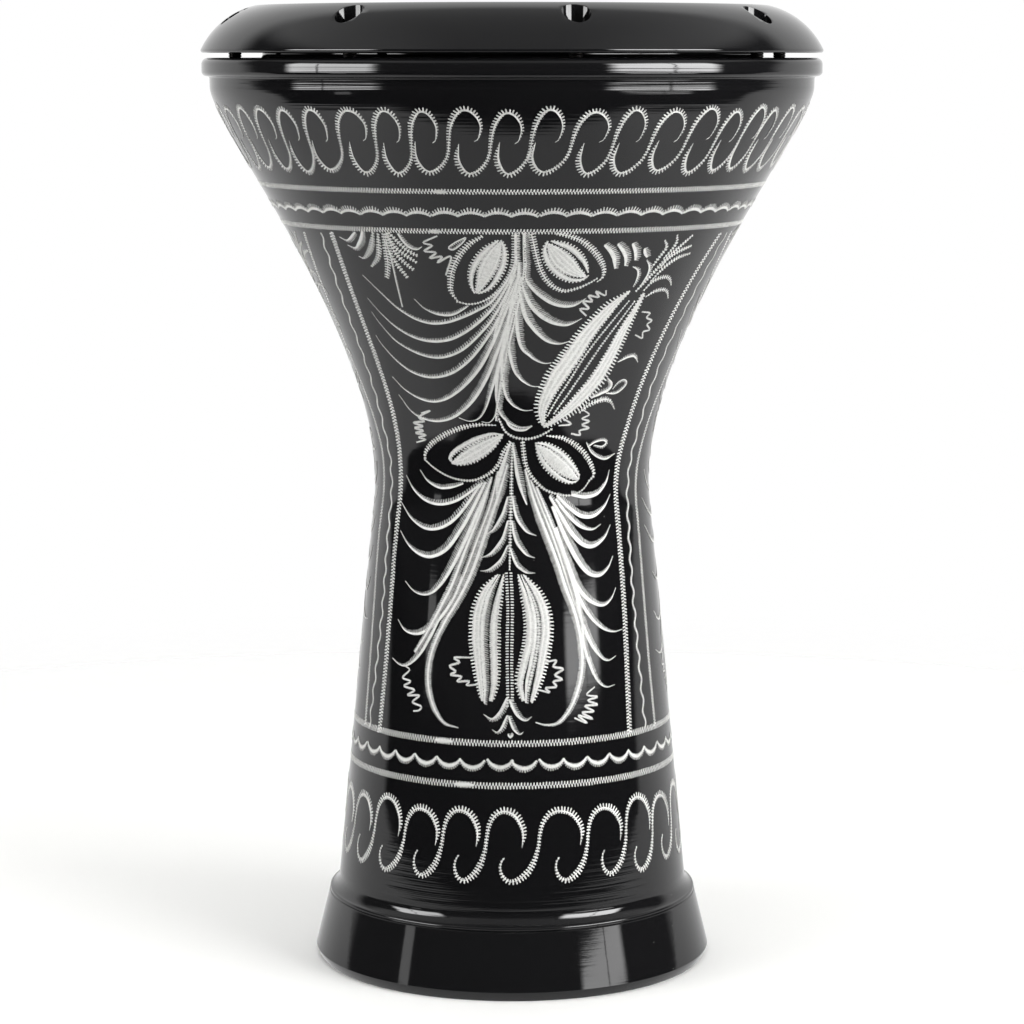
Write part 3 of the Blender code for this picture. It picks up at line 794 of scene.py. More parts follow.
def fromFrontView(drawing):
    # each point of a drawing is carried straight back from the camera onto the body
    spots = np.array([[float(n) for n in pair.split(",")] for pair in drawing.split()])
    focal = studio["lens"] / studio["sensor"] * viewWidth
    pitch = math.radians(studio["pitch"])
    across = (spots[:, 0] - viewWidth / 2) / focal
    up = (viewWidth / 2 - spots[:, 1]) / focal
    depth = np.linspace(1330, 1530, 2001)[None, :]  # from before the body's front to behind its sides
    x = across[:, None] * depth
    y = -studio["cameraDistance"] / mm + depth * (math.cos(pitch) + up[:, None] * math.sin(pitch))
    z = studio["cameraHeight"] / mm + depth * (up[:, None] * math.cos(pitch) - math.sin(pitch))
    gap = np.hypot(x, y) - np.interp(z, profile["height"], profile["radius"])
    inside = gap < 0
    hit = np.where(inside.any(axis=1), inside.argmax(axis=1), gap.argmin(axis=1))
    rows = np.arange(len(spots))
    return np.stack([np.arctan2(x[rows, hit], -y[rows, hit]), alongAt(z[rows, hit])], axis=1)


def smoothLine(points):
    # a curve through the points, 12 steps from one to the next
    ends = np.vstack([2 * points[0] - points[1], points, 2 * points[-1] - points[-2]])
    t = np.linspace(0, 1, 12, endpoint=False)[:, None]
    parts = []
    for i in range(len(points) - 1):
        a, b, c, d = ends[i:i + 4]
        bend = (2 * a - 5 * b + 4 * c - d) * t**2 + (3 * b - a - 3 * c + d) * t**3
        parts.append(0.5 * (2 * b + (c - a) * t + bend))
    return np.vstack(parts + [points[-1:]])


def evenStations(path, step):
    # points at even spacing along a path on the body, the unit direction and the share of the way at each
    r = radiusAt(path[:, 1])
    hops = np.hypot(np.diff(path[:, 0]) * (r[1:] + r[:-1]) / 2, np.diff(path[:, 1]))
    run = np.concatenate([[0], np.cumsum(hops)])
    count = max(4, int(round(run[-1] / step)))
    want = np.linspace(0, run[-1], count + 1)
    spots = np.stack([np.interp(want, run, path[:, 0]), np.interp(want, run, path[:, 1])], axis=1)
    flow = np.stack([np.gradient(spots[:, 0]) * radiusAt(spots[:, 1]), np.gradient(spots[:, 1])], axis=1)
    return spots, unit(flow), want / run[-1]


def moved(spots, flow, forward, out):
    # points shifted along a direction on the body and to its left
    across = -flow[:, 1] * out + flow[:, 0] * forward
    up = flow[:, 0] * out + flow[:, 1] * forward
    return np.stack([spots[:, 0] + across / radiusAt(spots[:, 1]), spots[:, 1] + up], axis=1)


class Cuts:
    # gathers closed slivers of metal for one piece; tone is how bright each one stands, a painted shade and
    # highlight with a little random spread
    def __init__(self, seed):
        self.points, self.quads, self.tris, self.tones, self.count, self.layer = [], [], [], [], 0, 0
        self.hand = np.random.RandomState(seed)

    def keep(self, points, quads, tris, tones):
        self.points.append(points.reshape(-1, 3))
        self.tones.append(np.broadcast_to(tones, points.shape[:-1]).reshape(-1))
        self.quads.append(np.array(quads, dtype=int).reshape(-1, 4) + self.count)
        self.tris.append(np.array(tris, dtype=int).reshape(-1, 3) + self.count)
        self.count += len(self.points[-1])

    def ribbon(self, spots, flow, left, right, lift, tone):
        # solid cut between two edges, ridged along the middle
        n = len(spots)
        ridge = cutLift["ridge"] + cutLift["ridgeStep"] * (np.arange(n) % 2)
        rows = np.stack([onBody(moved(spots, flow, 0, left), cutLift["edge"] + lift),
                         onBody(moved(spots, flow, 0, (left + right) / 2), ridge + lift),
                         onBody(moved(spots, flow, 0, right), cutLift["edge"] + lift),
                         onBody(spots, np.full(n, cutLift["root"]))], axis=1)
        i = np.arange(n - 1)[:, None] * 4
        sides = ((0, 1), (1, 2), (2, 3), (3, 0))
        quads = np.concatenate([i + np.array([[a, b, b + 4, a + 4]]) for a, b in sides])
        caps = [[0, 3, 2, 1], [4 * n - 4, 4 * n - 3, 4 * n - 2, 4 * n - 1]]
        tones = tone + self.hand.uniform(-0.06, 0.06, (n, 1))
        self.keep(rows, np.vstack([quads, caps]), [], tones)

    def bars(self, spots, heading, length, width, lift, tone, tip, base=-0.3):
        # separate short cuts, each a ridge that leans a little its own way; its colour fades from tone to
        # tip, a painted shade along the cut
        n = len(spots)
        lean = self.hand.uniform(-0.3, 0.3, n) * width
        outline = ((-0.5, 0.0), (base, 0.5), (0.33, 0.45), (0.5, 0.0), (0.33, -0.45), (base, -0.5))
        ridge = (-0.25, 0.2)
        low, high = cutLift["barEdge"] + lift, cutLift["barRidge"] + lift
        rows = [onBody(moved(spots, heading, length * f, width * o), low) for f, o in outline]
        rows += [onBody(moved(spots, heading, length * f, lean), high) for f in ridge]
        rows.append(onBody(spots, np.full(n, cutLift["root"])))
        each = np.arange(n)[:, None, None] * len(rows)
        quads = each + np.array([[[1, 2, 7, 6], [4, 5, 6, 7]]])
        one = [[0, 1, 6], [2, 3, 7], [3, 4, 7], [5, 0, 6]] + [[(k + 1) % 6, k, 8] for k in range(6)]
        along = np.array([f for f, o in outline] + [*ridge, 0.0]) + 0.5
        # painted shade: brightness ramps from tone at the root to tip at the end, with random spread
        tones = tone + (tip - tone) * along[None, :] + self.hand.uniform(-0.1, 0.1, n)[:, None]
        self.keep(np.stack(rows, axis=1), quads, each + np.array([one]), tones)

    def stroke(self, path, widths, pitch=1.0, core=0.4, shift=0.0, duty=0.7, slant=0.3, edges=(1.0, 1.0),
               tone=1.0, side=0.8, tip=0.35, smooth=True, lift=0.0):
        # one run of the rocked graver: a bright spine and a comb of short cuts on either side; their
        # brightness is painted shade, tone on the spine and side fading to tip on the comb.
        # core: the spine's share of the width; shift: how far it sits to the left (1) or right (-1);
        # duty: a cut's share of the pitch; edges: how far the combs reach on the left and right
        if smooth:
            path = smoothLine(path)
        spots, flow, share = evenStations(path, pitch / 2)
        half = np.maximum(np.interp(share, np.linspace(0, 1, len(widths)), widths) / 2, 0.09)
        shifts = np.atleast_1d(shift)
        middle = np.interp(share, np.linspace(0, 1, len(shifts)), shifts) * half * (1 - core)
        self.layer = (self.layer + 1) % cutLift["layers"]
        lift = lift + self.layer * cutLift["layer"]
        if core > 0:
            spine = np.maximum(half * core, 0.14)
            self.ribbon(spots, flow, middle + spine, middle - spine, lift + 0.05, tone)
        at, way, high, off = spots[::2], flow[::2], half[::2], middle[::2]
        for sign, reach in ((1.0, edges[0]), (-1.0, edges[1])):
            length = np.maximum((sign * high * reach - off) * sign, 0)
            used = length > 0.3 * high + 0.08
            if reach <= 0 or not used.any():
                continue
            heading = unit(leftOf(way) * sign + way * slant)
            length = length * self.hand.uniform(0.9, 1.06, len(length))
            start = moved(at, way, self.hand.uniform(-0.06, 0.06, len(at)) * pitch, off)
            centre = moved(start, heading, length / 2, 0)
            self.bars(centre[used], heading[used], length[used], np.full(used.sum(), duty * pitch),
                      lift, side, tip, base=-0.5)

    def bundle(self, path, widths, teeth, runWidth=2.5, pitch=1.42, duty=0.46, tone=1.0, side=0.9, tip=0.68):
        # runs side by side that fill a shape; teeth: how long the nicks on its left and right edge are
        spots, flow, share = evenStations(smoothLine(path), 0.5)
        half = np.interp(share, np.linspace(0, 1, len(widths)), widths) / 2
        runs = max(1, int(round(2 * half.max() / runWidth)))
        step = int(round(pitch / 0.5 * len(spots) / (len(spots) - 1)))
        for sign, long in ((1.0, teeth[0]), (-1.0, teeth[1])):
            if long > 0:
                at, way, high = spots[2:-2:step], flow[2:-2:step], half[2:-2:step]
                heading = unit(leftOf(way) * sign + way * 0.12)
                length = (np.minimum(long, high) + 0.3 * high) * self.hand.uniform(0.92, 1.06, len(high))
                centre = moved(moved(at, way, 0, sign * 0.7 * high), heading, length / 2, 0)
                width = np.full(len(high), duty * pitch)
                self.bars(centre, heading, length, width, 0.02, tone, tone * 0.9, base=-0.5)
        self.stroke(spots, half * 1.7, core=0.95, duty=0.8, tone=tone * 0.86, smooth=False)
        for k in range(runs):
            out = (2 * (k + 0.5) / runs - 1) * 0.92
            self.stroke(moved(spots, flow, 0, half * out), half * 2 / runs * 1.25, pitch=0.9, core=0.3,
                        duty=0.82, slant=0.35, tone=tone, side=side, tip=tip, smooth=False, lift=0.04)

    def islands(self, path, pitch=1.35, size=0.75):
        # spots of lacquer left standing along a seam
        spots, flow = evenStations(smoothLine(path), pitch)[:2]
        spots = moved(spots, flow, 0, self.hand.uniform(-0.35, 0.35, len(spots)))
        length = size * self.hand.uniform(0.6, 1.25, len(spots))
        self.bars(spots, flow, length, length * 0.7, 0.16, -0.3, -0.3)

    def rope(self, path, left, right, pitch, lean=0.35, smooth=True, duty=0.46, tone=0.85):
        # two rows of short cuts leaning opposite ways
        if smooth:
            path = smoothLine(path)
        spots, flow = evenStations(path, pitch)[:2]
        for size, sign, skip in ((left, 1.0, 0.0), (right, -1.0, 0.5)):
            heading = unit(leftOf(flow) * sign + flow * lean)
            length = size * self.hand.uniform(0.9, 1.1, len(spots))
            start = moved(spots, flow, skip * pitch, 0)
            self.bars(moved(start, heading, length * 0.38, 0), heading, length,
                      np.full(len(spots), duty * pitch), 0.0, tone, tone * 0.95)

    def ladder(self, path, left, right, pitch, gap=0.3):
        # two columns of level bars with a dark line between them
        spots, flow = evenStations(smoothLine(path), pitch)[:2]
        for size, sign in ((left, 1.0), (right, -1.0)):
            heading = leftOf(flow) * sign + flow * 0.08
            length = size * self.hand.uniform(0.9, 1.1, len(spots))
            self.bars(moved(spots, heading, gap + length / 2, 0), heading, length,
                      np.full(len(spots), 0.5 * pitch), 0.02, 1.0, 0.9, base=-0.4)

    def piece(self, name, material, turns=(0.0,)):
        # one piece, or a copy for each turn round the drum
        points = np.vstack(self.points)
        tones = np.clip(np.concatenate(self.tones), 0, 1).astype(np.float32)
        faces = np.vstack(self.quads).tolist() + np.vstack(self.tris).tolist()
        for number, turn in enumerate(turns, start=1):
            c, s = math.cos(turn), math.sin(turn)
            turned = points @ np.array([[c, s, 0], [-s, c, 0], [0, 0, 1]])
            mesh = bpy.data.meshes.new(name)
            mesh.from_pydata(turned.tolist(), [], faces)
            mesh.attributes.new("tone", "FLOAT", "POINT").data.foreach_set("value", tones)
            label = name if len(turns) == 1 else f"{name}_{number}"
            item = bpy.data.objects.new(label, mesh)
            bpy.context.collection.objects.link(item)
            setMaterials(item, material)
            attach(item, "shell")
            print(label, sum(len(f) - 2 for f in faces), "triangles")


# The bands round the body. The real nicks of ropes, combs and scrolls are about 1.1 mm apart, too fine
# to show in the render, so most are drawn 1.3 to 1.45 mm apart.

# places: where the tops of the scrolls in view stand, in degrees from the front, with the hidden ones
# evenly between; wander: how much a scroll's width, height and place vary, as (offset, amount)
scrollBands = {
    "scroll_band_upper": {
        "seed": 11, "hidden": 29, "broader": 1.35, "wander": ((0, 0.07), (7, 0.04), (3, 0.8)),
        "places": (-62.2, -54.6, -47.2, -39.7, -31.0, -23.6, -16.3, -8.4, -0.7, 6.9, 15.2, 22.9, 31.1, 39.1,
                   46.1, 53.4, 58.6),
        "drawing": "513.2,142.4 516.7,139.9 519.8,131.7 520.3,125.6 517.8,118.5 512.7,112.3 505.5,109.8 "
                   "498.4,112.3 492.2,120.5 489.2,129.7 487.7,140.9 486.6,152.1 484.1,160.3 479,167.4 "
                   "472.9,172.6 466.7,174.6 460.6,172 455.5,165.4 453,158.3 453,152.1 454.5,143",
        "widths": (0, 0.6, 1.1, 1.5, 2.0, 2.1, 2.2, 2.2, 2.0, 1.7, 1.4, 1.3, 1.3, 1.5, 1.8, 2.1, 2.3, 2.4,
                   2.1, 1.3, 0),
        "cut": dict(pitch=1.38, core=0.13, shift=(0.8, 0.8, 0.8, 0.7, 0.4, 0.0, -0.4, -0.8, -0.8, -0.8),
                    duty=0.52, slant=0.15, tone=0.85, side=0.85, tip=0.7),
    },
    "scroll_band_lower": {
        "seed": 14, "hidden": 15, "broader": 1.2, "wander": ((2, 0.1), (0, 0.05), (9, 1.0)),
        "places": (-62.1, -47.2, -32.3, -17.7, -2.6, 16.0, 32.3, 47.5, 61.2),
        "drawing": "520.4,847.5 522.7,835 520,824.3 512.9,814.5 502.1,810.9 493.2,814.5 487,824.3 "
                   "484.3,836.8 482.5,849.3 478,863.6 470.9,874.3 461.1,880.5 453.9,876.1 451.3,867.1 "
                   "452.1,860 454.8,855.5",
        "widths": (0, 1.9, 2.6, 3.0, 3.0, 2.6, 2.0, 1.6, 1.5, 1.9, 2.6, 2.9, 2.4, 1.8, 1.1, 0.7),
        "cut": dict(pitch=1.4, core=0.1, shift=(0.6, 0.6, 0.4, 0.0, 0.0, -0.2, -0.2), duty=0.52, slant=0.12,
                    tone=0.95, side=0.95, tip=0.9),
    },
}
# ropes: height, start in degrees, and where its blot starts, the spot where the graver ran over the
# rope's end; scallop: low end and bulge in millimetres and the power that rounds it
ropeBands = {
    "rope_and_scallops_upper": {
        "seed": 12, "ropes": ((357.2, -15, -17), (340.0, -18, -20)),
        "nicks": dict(left=1.7, right=1.5, pitch=1.4, lean=0.2, duty=0.48, tone=0.95),
        "blot": dict(turn=3.2, steps=6), "blotWidths": (0.8, 2.6, 3.0, 2.6, 0.8), "blotTone": 0.8,
        "count": 59, "height": 348.0, "scallop": (-1.0, 2.3, 0.8), "wander": (0.04, 0.2),
        "widths": (2.0, 3.0, 3.6, 3.6, 3.1, 2.2),
        "cut": dict(pitch=1.3, core=0.24, shift=-0.8, duty=0.52, slant=0.1, tone=0.85, side=0.85, tip=0.6),
    },
    "rope_and_scallops_lower": {
        "seed": 13, "ropes": ((112.6, -22, -28), (93.9, -14, -20)),
        "nicks": dict(left=1.75, right=1.75, pitch=1.4, lean=0.1, duty=0.48, tone=1.0),
        "blot": dict(turn=7, steps=8), "blotWidths": (1.2, 3.0, 3.3, 3.3, 2.6, 1.0), "blotTone": 1.0,
        "count": 40, "height": 103.0, "scallop": (2.2, -3.8, 0.7), "wander": (0.05, 0.25),
        "widths": (1.4, 2.3, 3.1, 3.2, 2.9, 2.2, 1.3),
        "cut": dict(pitch=0.95, core=0.45, shift=0.4, duty=0.66, slant=0.1, side=0.75, tip=0.5),
    },
}


def handWander(number, size):
    # small unevenness of hand work, the same each time
    return size * math.sin(number * 12.9898 + 4.1) * math.cos(number * 3.7)


def ringPath(height, start=0.0, turn=360.0, steps=240):
    angles = np.radians(start + turn * np.linspace(0, 1, steps + 1))
    return np.stack([angles, np.full(steps + 1, alongAt(height))], axis=1)


def widthShare(places, number):
    # a scroll squeezed by hand between its neighbours is drawn narrower
    gap = (places[number] - places[number - 1]) % (2 * math.pi)
    return min(max(gap * len(places) / (2 * math.pi), 0.78), 1.12)


def makeScrollBand(name, metal):
    band = scrollBands[name]
    scroll = fromFrontView(band["drawing"])
    scroll[:, 0] -= scroll[scroll[:, 1].argmax(), 0]
    seen = list(band["places"])
    gap = (360 + seen[0] - seen[-1]) / (band["hidden"] + 1)
    hidden = [seen[-1] + gap * (i + 1) for i in range(band["hidden"])]
    places = [math.radians(a) for a in seen + hidden]
    widths = [band["broader"] * w for w in band["widths"]]
    cuts = Cuts(band["seed"])
    for i, place in enumerate(places):
        width, height, shift = [handWander(i + offset, amount) for offset, amount in band["wander"]]
        path = scroll.copy()
        path[:, 0] *= widthShare(places, i)
        middle = path[:, 1].mean()
        path[:, 0] *= 1 + width
        path[:, 1] = middle + (path[:, 1] - middle) * (1 + height) + shift
        path[:, 0] += place
        cuts.stroke(path, widths, **band["cut"])
    cuts.piece(name, metal)


def makeRopeBand(name, metal):
    band = ropeBands[name]
    cuts = Cuts(band["seed"])
    for height, start, blotStart in band["ropes"]:
        cuts.rope(ringPath(height, start), smooth=False, **band["nicks"])
        cuts.stroke(ringPath(height, blotStart, **band["blot"]), band["blotWidths"], pitch=0.6, core=0.6,
                    lift=0.03, tone=band["blotTone"])
    base = alongAt(band["height"])
    low, bulge, power = band["scallop"]
    sideways, upwards = band["wander"]
    share = np.linspace(0, 1, 9)
    for i in range(band["count"]):
        turn = 2 * math.pi * (i + share + handWander(i, sideways)) / band["count"]
        along = base + low + bulge * np.sin(math.pi * share) ** power + handWander(i, upwards)
        cuts.stroke(np.stack([turn, along], axis=1), band["widths"], **band["cut"])
    cuts.piece(name, metal)


# The panel's drawing, on the front view: a kind of cut, its widths along the way in millimetres, and its
# points. Left and right are as seen along the way.
# arc: wide toothed outline; fine: thin toothed line; leaf: tapering cut with its comb on the right, and
# leafLeft, leafBroad and leafToothed the same on the left, broader, or coarser; stem: thick round cut;
# sprig: thin zigzag; bud: solid, nicked on both edges; band: solid, nicked on the right, and bandLeft on
# the left; lobe: wide solid, nicked more on the right, and lobeLeft on the left; ladder: two columns of
# bars, with its widths and pitch; islands: spots of lacquer; part: the end of the plume's piece.
panel = [
    # fan at the top left
    ("leaf", "1.8 2.2 2.2 1.4 0", "399,233 404,240 410,246 417,248.5 422,246.5"),
    ("arc", "1.5 2.4 2.5 1.6", "389,233 398,242 407,250 418,256"),
    ("arc", "1.5 2.5 2.6 1.6", "387,233 394,246 404,254 416,262"),
    ("arc", "1.5 2.5 2.6 1.8", "386,234 393,249 402,260 414,270"),
    ("arc", "1.5 2.6 2.6 1.8", "385,234 389,250 397,264 408,278"),
    ("arc", "1.6 3.0 3.2 2.4", "383,234 386,250 388,264 387,277"),
    ("arc", "1.4 2.8 2.6 1.2", "378,234 379,248 378,258 372,266"),
    ("arc", "1.4 3.0 3.0 1.8 0", "373,233 372,244 369,252 364,258 359,256"),
    ("leaf", "2.2 3.0 2.8 1.6 0", "364,232 363,240 360,246 356,249 348,245"),
    ("leaf", "1.6 2.4 2.0 0.9 0", "356,233 353,238 349,241 345,240 340,237"),
    ("leaf", "0.6 1.0 1.0 0.7", "385,240 391,255 397,281 403,307"),
    # sprig and loose bud
    ("sprig", "0.9 1.3 1.3 1.3 1.2 1.0",
     "437,236 423.5,242.5 432,245.5 424.5,251 436,252.5 430,258 442,256.5 438,262.5 451,256.5 446,275"),
    ("leaf", "1.0 1.2 1.2 1.2 1.0",
     "466,238 457,242.5 451,246.5 449.7,248.2 452.7,248.8 456.5,246.6 461.6,242.4 465,238.3"),
    # left eye
    ("arc", "1.6 2.6 3.0 3.3 3.2 2.4 0.6",
     "482,236.4 469.3,244 459,255.5 452.7,268.3 450.5,281 451.5,292 458,301.6"),
    ("fine", "0.9 1.0 1.2 1.8 2.6 3.2 3.4 3.2",
     "457,301.6 469.3,304 482,301.6 494.8,293.8 506.5,281 512.9,268.3 515.5,255.5 515.5,234.5"),
    ("bud", "1 6 8.2 7.6 4.4 1.4", "500.5,242 495.5,252 489.5,264 484,276 480,286 476.5,292.5"),
    ("band", "0.8 2.3 2.6 2.4 1.6 0.6", "498,240.5 486,250.5 476.5,262 471.8,274 471.5,284 474.5,293"),
    ("bandLeft", "0.8 2.0 2.3 2.2 1.5 0.6", "501,240.5 504.2,250 503,264 497,277.5 489,288 478.5,293.5"),
    # right eye
    ("arc", "1.6 2.4 2.9 3.1 2.9 2.2 0.6",
     "557,233.5 571.9,236.8 584.4,242.4 594,251 601,261 604,269.5 602.5,277.2 597.5,281.4"),
    ("fine", "0.9 1.3 2.0 2.6 2.8 3.0 3.0",
     "597,278.5 590,282.6 580.8,287 571.9,289.8 564.2,291 556.6,288.6 548.7,282.6 541.5,272 537,258 "
     "531.5,234.5"),
    ("bud", "1 6.6 9 8.4 5 1.4", "548.5,244 553.5,251 560,258.5 567.5,265.5 575,271.5 585,276"),
    ("bandLeft", "0.8 2.0 2.4 2.3 1.6 0.6", "551.5,241 559,243.6 568,247 577,253.4 584,262 588,272"),
    ("band", "0.8 2.0 2.4 2.2 1.6 0.6",
     "547.5,241.5 544.6,250 547,259.5 553,268.6 560.5,275 570,279.4 581,279.6 588,275.5"),
    # strokes beside the right eye
    ("leaf", "2.4 3.4 3.5 3.2 1.8", "606,243.4 612.5,249 616.5,257.5 616.4,268"),
    ("leaf", "2.4 3.4 3.5 3.2 1.8", "619.5,242.6 625.5,249 628.3,257 626.4,265.6"),
    ("leaf", "2.4 3.2 3.4 3.2 2.0", "634.4,242.4 637.6,248.5 638,254.5 636.6,260"),
    ("leaf", "2.2 3.0 3.0 2.0", "646,247.6 647.2,251.5 648.6,256"),
    ("leaf", "0.4 1.6 1.9 1.6 0.8", "633,266.4 638.4,268.8 639.2,275 636.6,281.5 633.8,286"),
    # feathered branch at the top right
    ("arc", "1.2 2.2 2.4 2.2 1.4", "636,291 642.5,284 654.8,271 667.6,257 680.3,246 692,235.6"),
    ("arc", "1.0 2.0 2.2 1.2", "661,267 668,258.5 679,251 691.5,245.4"),
    ("arc", "1.0 2.0 2.2 1.2", "651,281 664,267.5 677,258 689.5,253.4"),
    ("arc", "0.8 1.9 2.0 0.9", "650,270 659,257.5 666.5,247.5 665,240.8"),
    ("arc", "0.8 1.9 2.0 0.9", "664,258 672.5,248.5 676.6,242 677.2,235.4"),
    ("arc", "0.8 2.0 2.2 1.8 0.6", "644,290 653,281 663.7,276.8 669.4,278.4 671,285.4"),
    ("arc", "0.8 1.8 2.0 1.6 0.5", "646,296.4 654.8,291 663,289.4 667,291.6 667.8,297.6"),
    ("leaf", "0.5 1.8 2.0 1.8 1.0", "647,260 650.4,265.7 648.6,274.6 641,286"),
    # sprigs on the right
    ("sprig", "0.9 1.3 1.3 1.3 1.3 1.0",
     "606,290.6 605,295.4 596,291.4 598.5,297 588.6,295.6 592,301.4 583,301.4 588.6,308.6 580,309 "
     "586,315.6"),
    ("sprig", "0.9 1.2 1.2 1.2 1.2 0.8",
     "642,311.8 649.7,313 646.5,317.4 651.6,320.6 646.8,324.4 649.4,329.5 642.8,332 642,338 635,334.8"),
    ("leaf", "0.6 1.6 1.8 1.6 0.4", "617.8,361.6 626.7,356.3 633.5,354.6 636.2,357 637.6,361.6"),
    ("leaf", "1.0 2.2 2.3 2.2 0.6", "591,397 600,392 607,388.8 610,384.3 607.4,378.4"),
    ("leaf", "0.6 1.4 1.5 1.4 1.2 0.5",
     "606,392.8 615.3,392 621.6,388 625.5,383.2 623.4,380.6 618,383 613,388.6"),
    ("arc", "1.2 2.2 2.4 1.8 0.4", "579.5,412.2 588.5,404.9 597.4,401 606.3,399.6 611,402.2 614,408.6"),
    ("leaf", "1.0 1.8 1.6 0.5", "595,401.5 601,398.6 606,398 611,400.4"),
    ("sprig", "0.8 1.2 1.2 1.1",
     "583.4,410 589,414.6 582,418.6 589,421.2 582,424.8 588.6,428 579.5,430.6 579.8,435 571,433.6"),
    ("sprig", "0.8 1.3 1.0", "559,425.6 570.6,424 563.6,418.8"),
    ("leaf", "0.5 1.4 1.6 1.5 0.3", "586.6,442.4 591.8,451 598.7,456 605.6,457.6 614.2,453.4"),
    ("leaf", "1.0 1.3 1.3 1.2 0.8", "587.5,446 595.3,440.8 603.6,439.2 606.8,442.6 602,447.2 594,445.8"),
    ("sprig", "0.8 1.4 1.4 1.3 0.8",
     "421.5,413 430.5,410.6 419,417 424.5,421 414,422.6 423,426 415,427.8 423.5,430.6 416,432.9 "
     "426,434.8 419,437.4 425.8,439.4 417,442.2"),
    # stem at the top and the plume below it
    ("leaf", "2.2 2.4 2.8 3.0 3.0 2.6 1.6", "517.5,233 517.8,250 518,266 514,284 508,302 500,324 494,346"),
    ("leaf", "2.6 2.9 3.0 3.2 3.4 3.2 3.0 3.0 2.6 1.2",
     "526.5,233 527,252 527.5,268 525.5,282 519.5,306 512,338 507,366 502.5,390 498.5,410 497,421"),
    ("fine", "0.9 1.0 1.0 1.0 1.0", "524.3,243 524.4,252 524.2,260 524.6,270 524.8,276"),
    # leaves on the left of the plume
    ("leaf", "0 0.7 1.5 2.0 1.6 0.8",
     "414.4,298.9 424.6,307.8 437.4,312.9 451.4,313.3 461.6,309 468,305.3"),
    ("leafToothed", "0 0.7 1.4 2.0 2.2 2.1 2.0 1.8",
     "363,275 381.3,292.5 396.6,306.5 414.4,317.4 431,322 446.3,321 461.6,316 477,309 490,301 503,284 "
     "513,266"),
    ("leafToothed", "0 0.8 1.6 2.2 2.4 2.4 2.2 2.0",
     "368,298 380,311.6 395.3,325.7 413.2,335.9 431,340 448.9,338.2 464.2,330.8 479.5,319.3 493,305 "
     "505,286 515,266"),
    ("leafToothed", "0 0.7 1.4 2.1 2.3 2.3 2.2 2.0",
     "372,312 380,323 395.3,339.7 413.2,350.5 431,356 446.3,355.2 461.6,348.4 477,334.6 491,318 503,297 "
     "514,274"),
    ("leafToothed", "0 0.8 1.7 2.4 2.5 2.6 2.4 2.2",
     "376,335 382,344 395.3,358.8 410.6,370.3 425.9,375.6 441.2,375 456.5,368.4 471.8,355 487,334.6 "
     "497,317 507,297 516,276"),
    ("leaf", "0 1.0 1.9 2.6 2.8 2.8 2.6 2.4",
     "392.8,376.7 405.5,389.4 420.8,398 434.8,400.4 448.9,395.6 464.2,383 479.5,363.9 492.2,338.4 "
     "502,314 511,292 518,272"),
    ("leaf", "0 1.1 2.0 2.7 2.9 2.9 2.8 2.6",
     "399,394.5 411.9,411 425.9,418.4 441.2,419.6 456.5,413.4 471.8,398.4 484.6,376.7 494.8,351.2 "
     "504,324 513,297 519,276"),
    ("leaf", "0 1.2 2.6 3.5 3.0 2.4",
     "459,417.5 469.3,420.8 478.5,418 485,407.6 490,389.4 496,366 503,340 511,312 518,286"),
    ("leaf", "0 1.0 2.0 1.9 1.6",
     "482,421.6 489.2,422.2 494.6,415.6 497.2,402.2 500,383 505,354 512,324 519,294"),
    # leaves on its right
    ("leafBroad", "1.6 2.2 2.4 2.5 2.3 1.8 0",
     "525,273 532,284 540.4,292.4 551.6,300 561.7,303.6 570.5,304.2 578.3,302.4 585.6,298.4"),
    ("leafBroad", "1.6 2.4 2.7 2.8 2.4 1.6 0",
     "523,280 531.8,301.4 541.6,312.6 551,319 559.6,322.4 567,323.4 574.4,321.6 581.4,318.4"),
    ("leafBroad", "1.8 2.4 2.8 2.8 2.4 1.5 0",
     "521,262 522,284 527.4,312.9 535.6,327 545.4,337.6 553.8,342 561.6,343 570,340.8"),
    ("leafBroad", "1.6 2.4 2.7 2.4 1.4 0",
     "521,270 518.5,300 521.8,342 530.6,354.6 538.2,360.6 544.8,363 551,362.6"),
    ("leafBroad", "1.6 2.4 2.7 2.4 1.4 0",
     "519,282 513,312 511,338 514.6,365.8 520.4,377.2 527.6,383.6 533.2,386 539.6,386.4"),
    ("leafBroad", "1.6 2.2 2.6 2.4 1.3 0",
     "516,300 509,330 505,362 506.4,391 511.8,402.6 518.6,408 525.2,410.2 532.4,409.8"),
    ("leafBroad", "1.2 2.0 2.3 2.2 1.2 0",
     "512,320 504,350 499,386 500.6,409 507,419.6 514.6,425 521.8,427 531.8,426.4"),
    ("islands", "1", "524.5,243 524.5,277 517,300 511,330 506,360 500,395 497,418"),
    # long bud: two pale lobes with beaded lines between
    ("lobe", "0.8 5.4 7.2 8.4 8.2 5.6 1.4",
     "629.3,291.2 611.4,306.8 588.8,332.4 571.4,357.6 553.4,383.4 542.4,408.6 543,425.4"),
    ("fine", "0.9 1.1 1.2 1.2 1.1 0.8",
     "628.6,301 611.4,321.8 594.8,342.2 582,360 569.3,380.5 556.6,399.6 547.4,415.6"),
    ("fine", "0.9 1.1 1.2 1.2 1.1 0.8",
     "634.4,301.4 619,321.8 606.3,338.4 593.6,356.3 580.8,375.4 566.8,395.8 554,413.4"),
    ("lobeLeft", "1.6 3.2 5.2 6.2 7.0 6.2 3.8 1.2",
     "643.6,293.4 636,307.4 622.5,331 609.6,356.3 594.4,381.4 573.6,404.4 553.8,420.6 544,426.6"),
    ("fine", "1.0 1.2 1.3 1.2 1.0",
     "499,419 504.6,430.4 511.4,435.8 519.8,438.4 529.8,438.6 539,436 546,432.6 552.4,428.4"),
    ("leaf", "0.8 1.6 2.2 1.8 0.5", "505.4,417 510,424.4 516.8,428 524.4,428.6 532,425.6"),
    # second pair of eyes
    ("arc", "0.6 1.8 2.4 2.5 2.3 1.4",
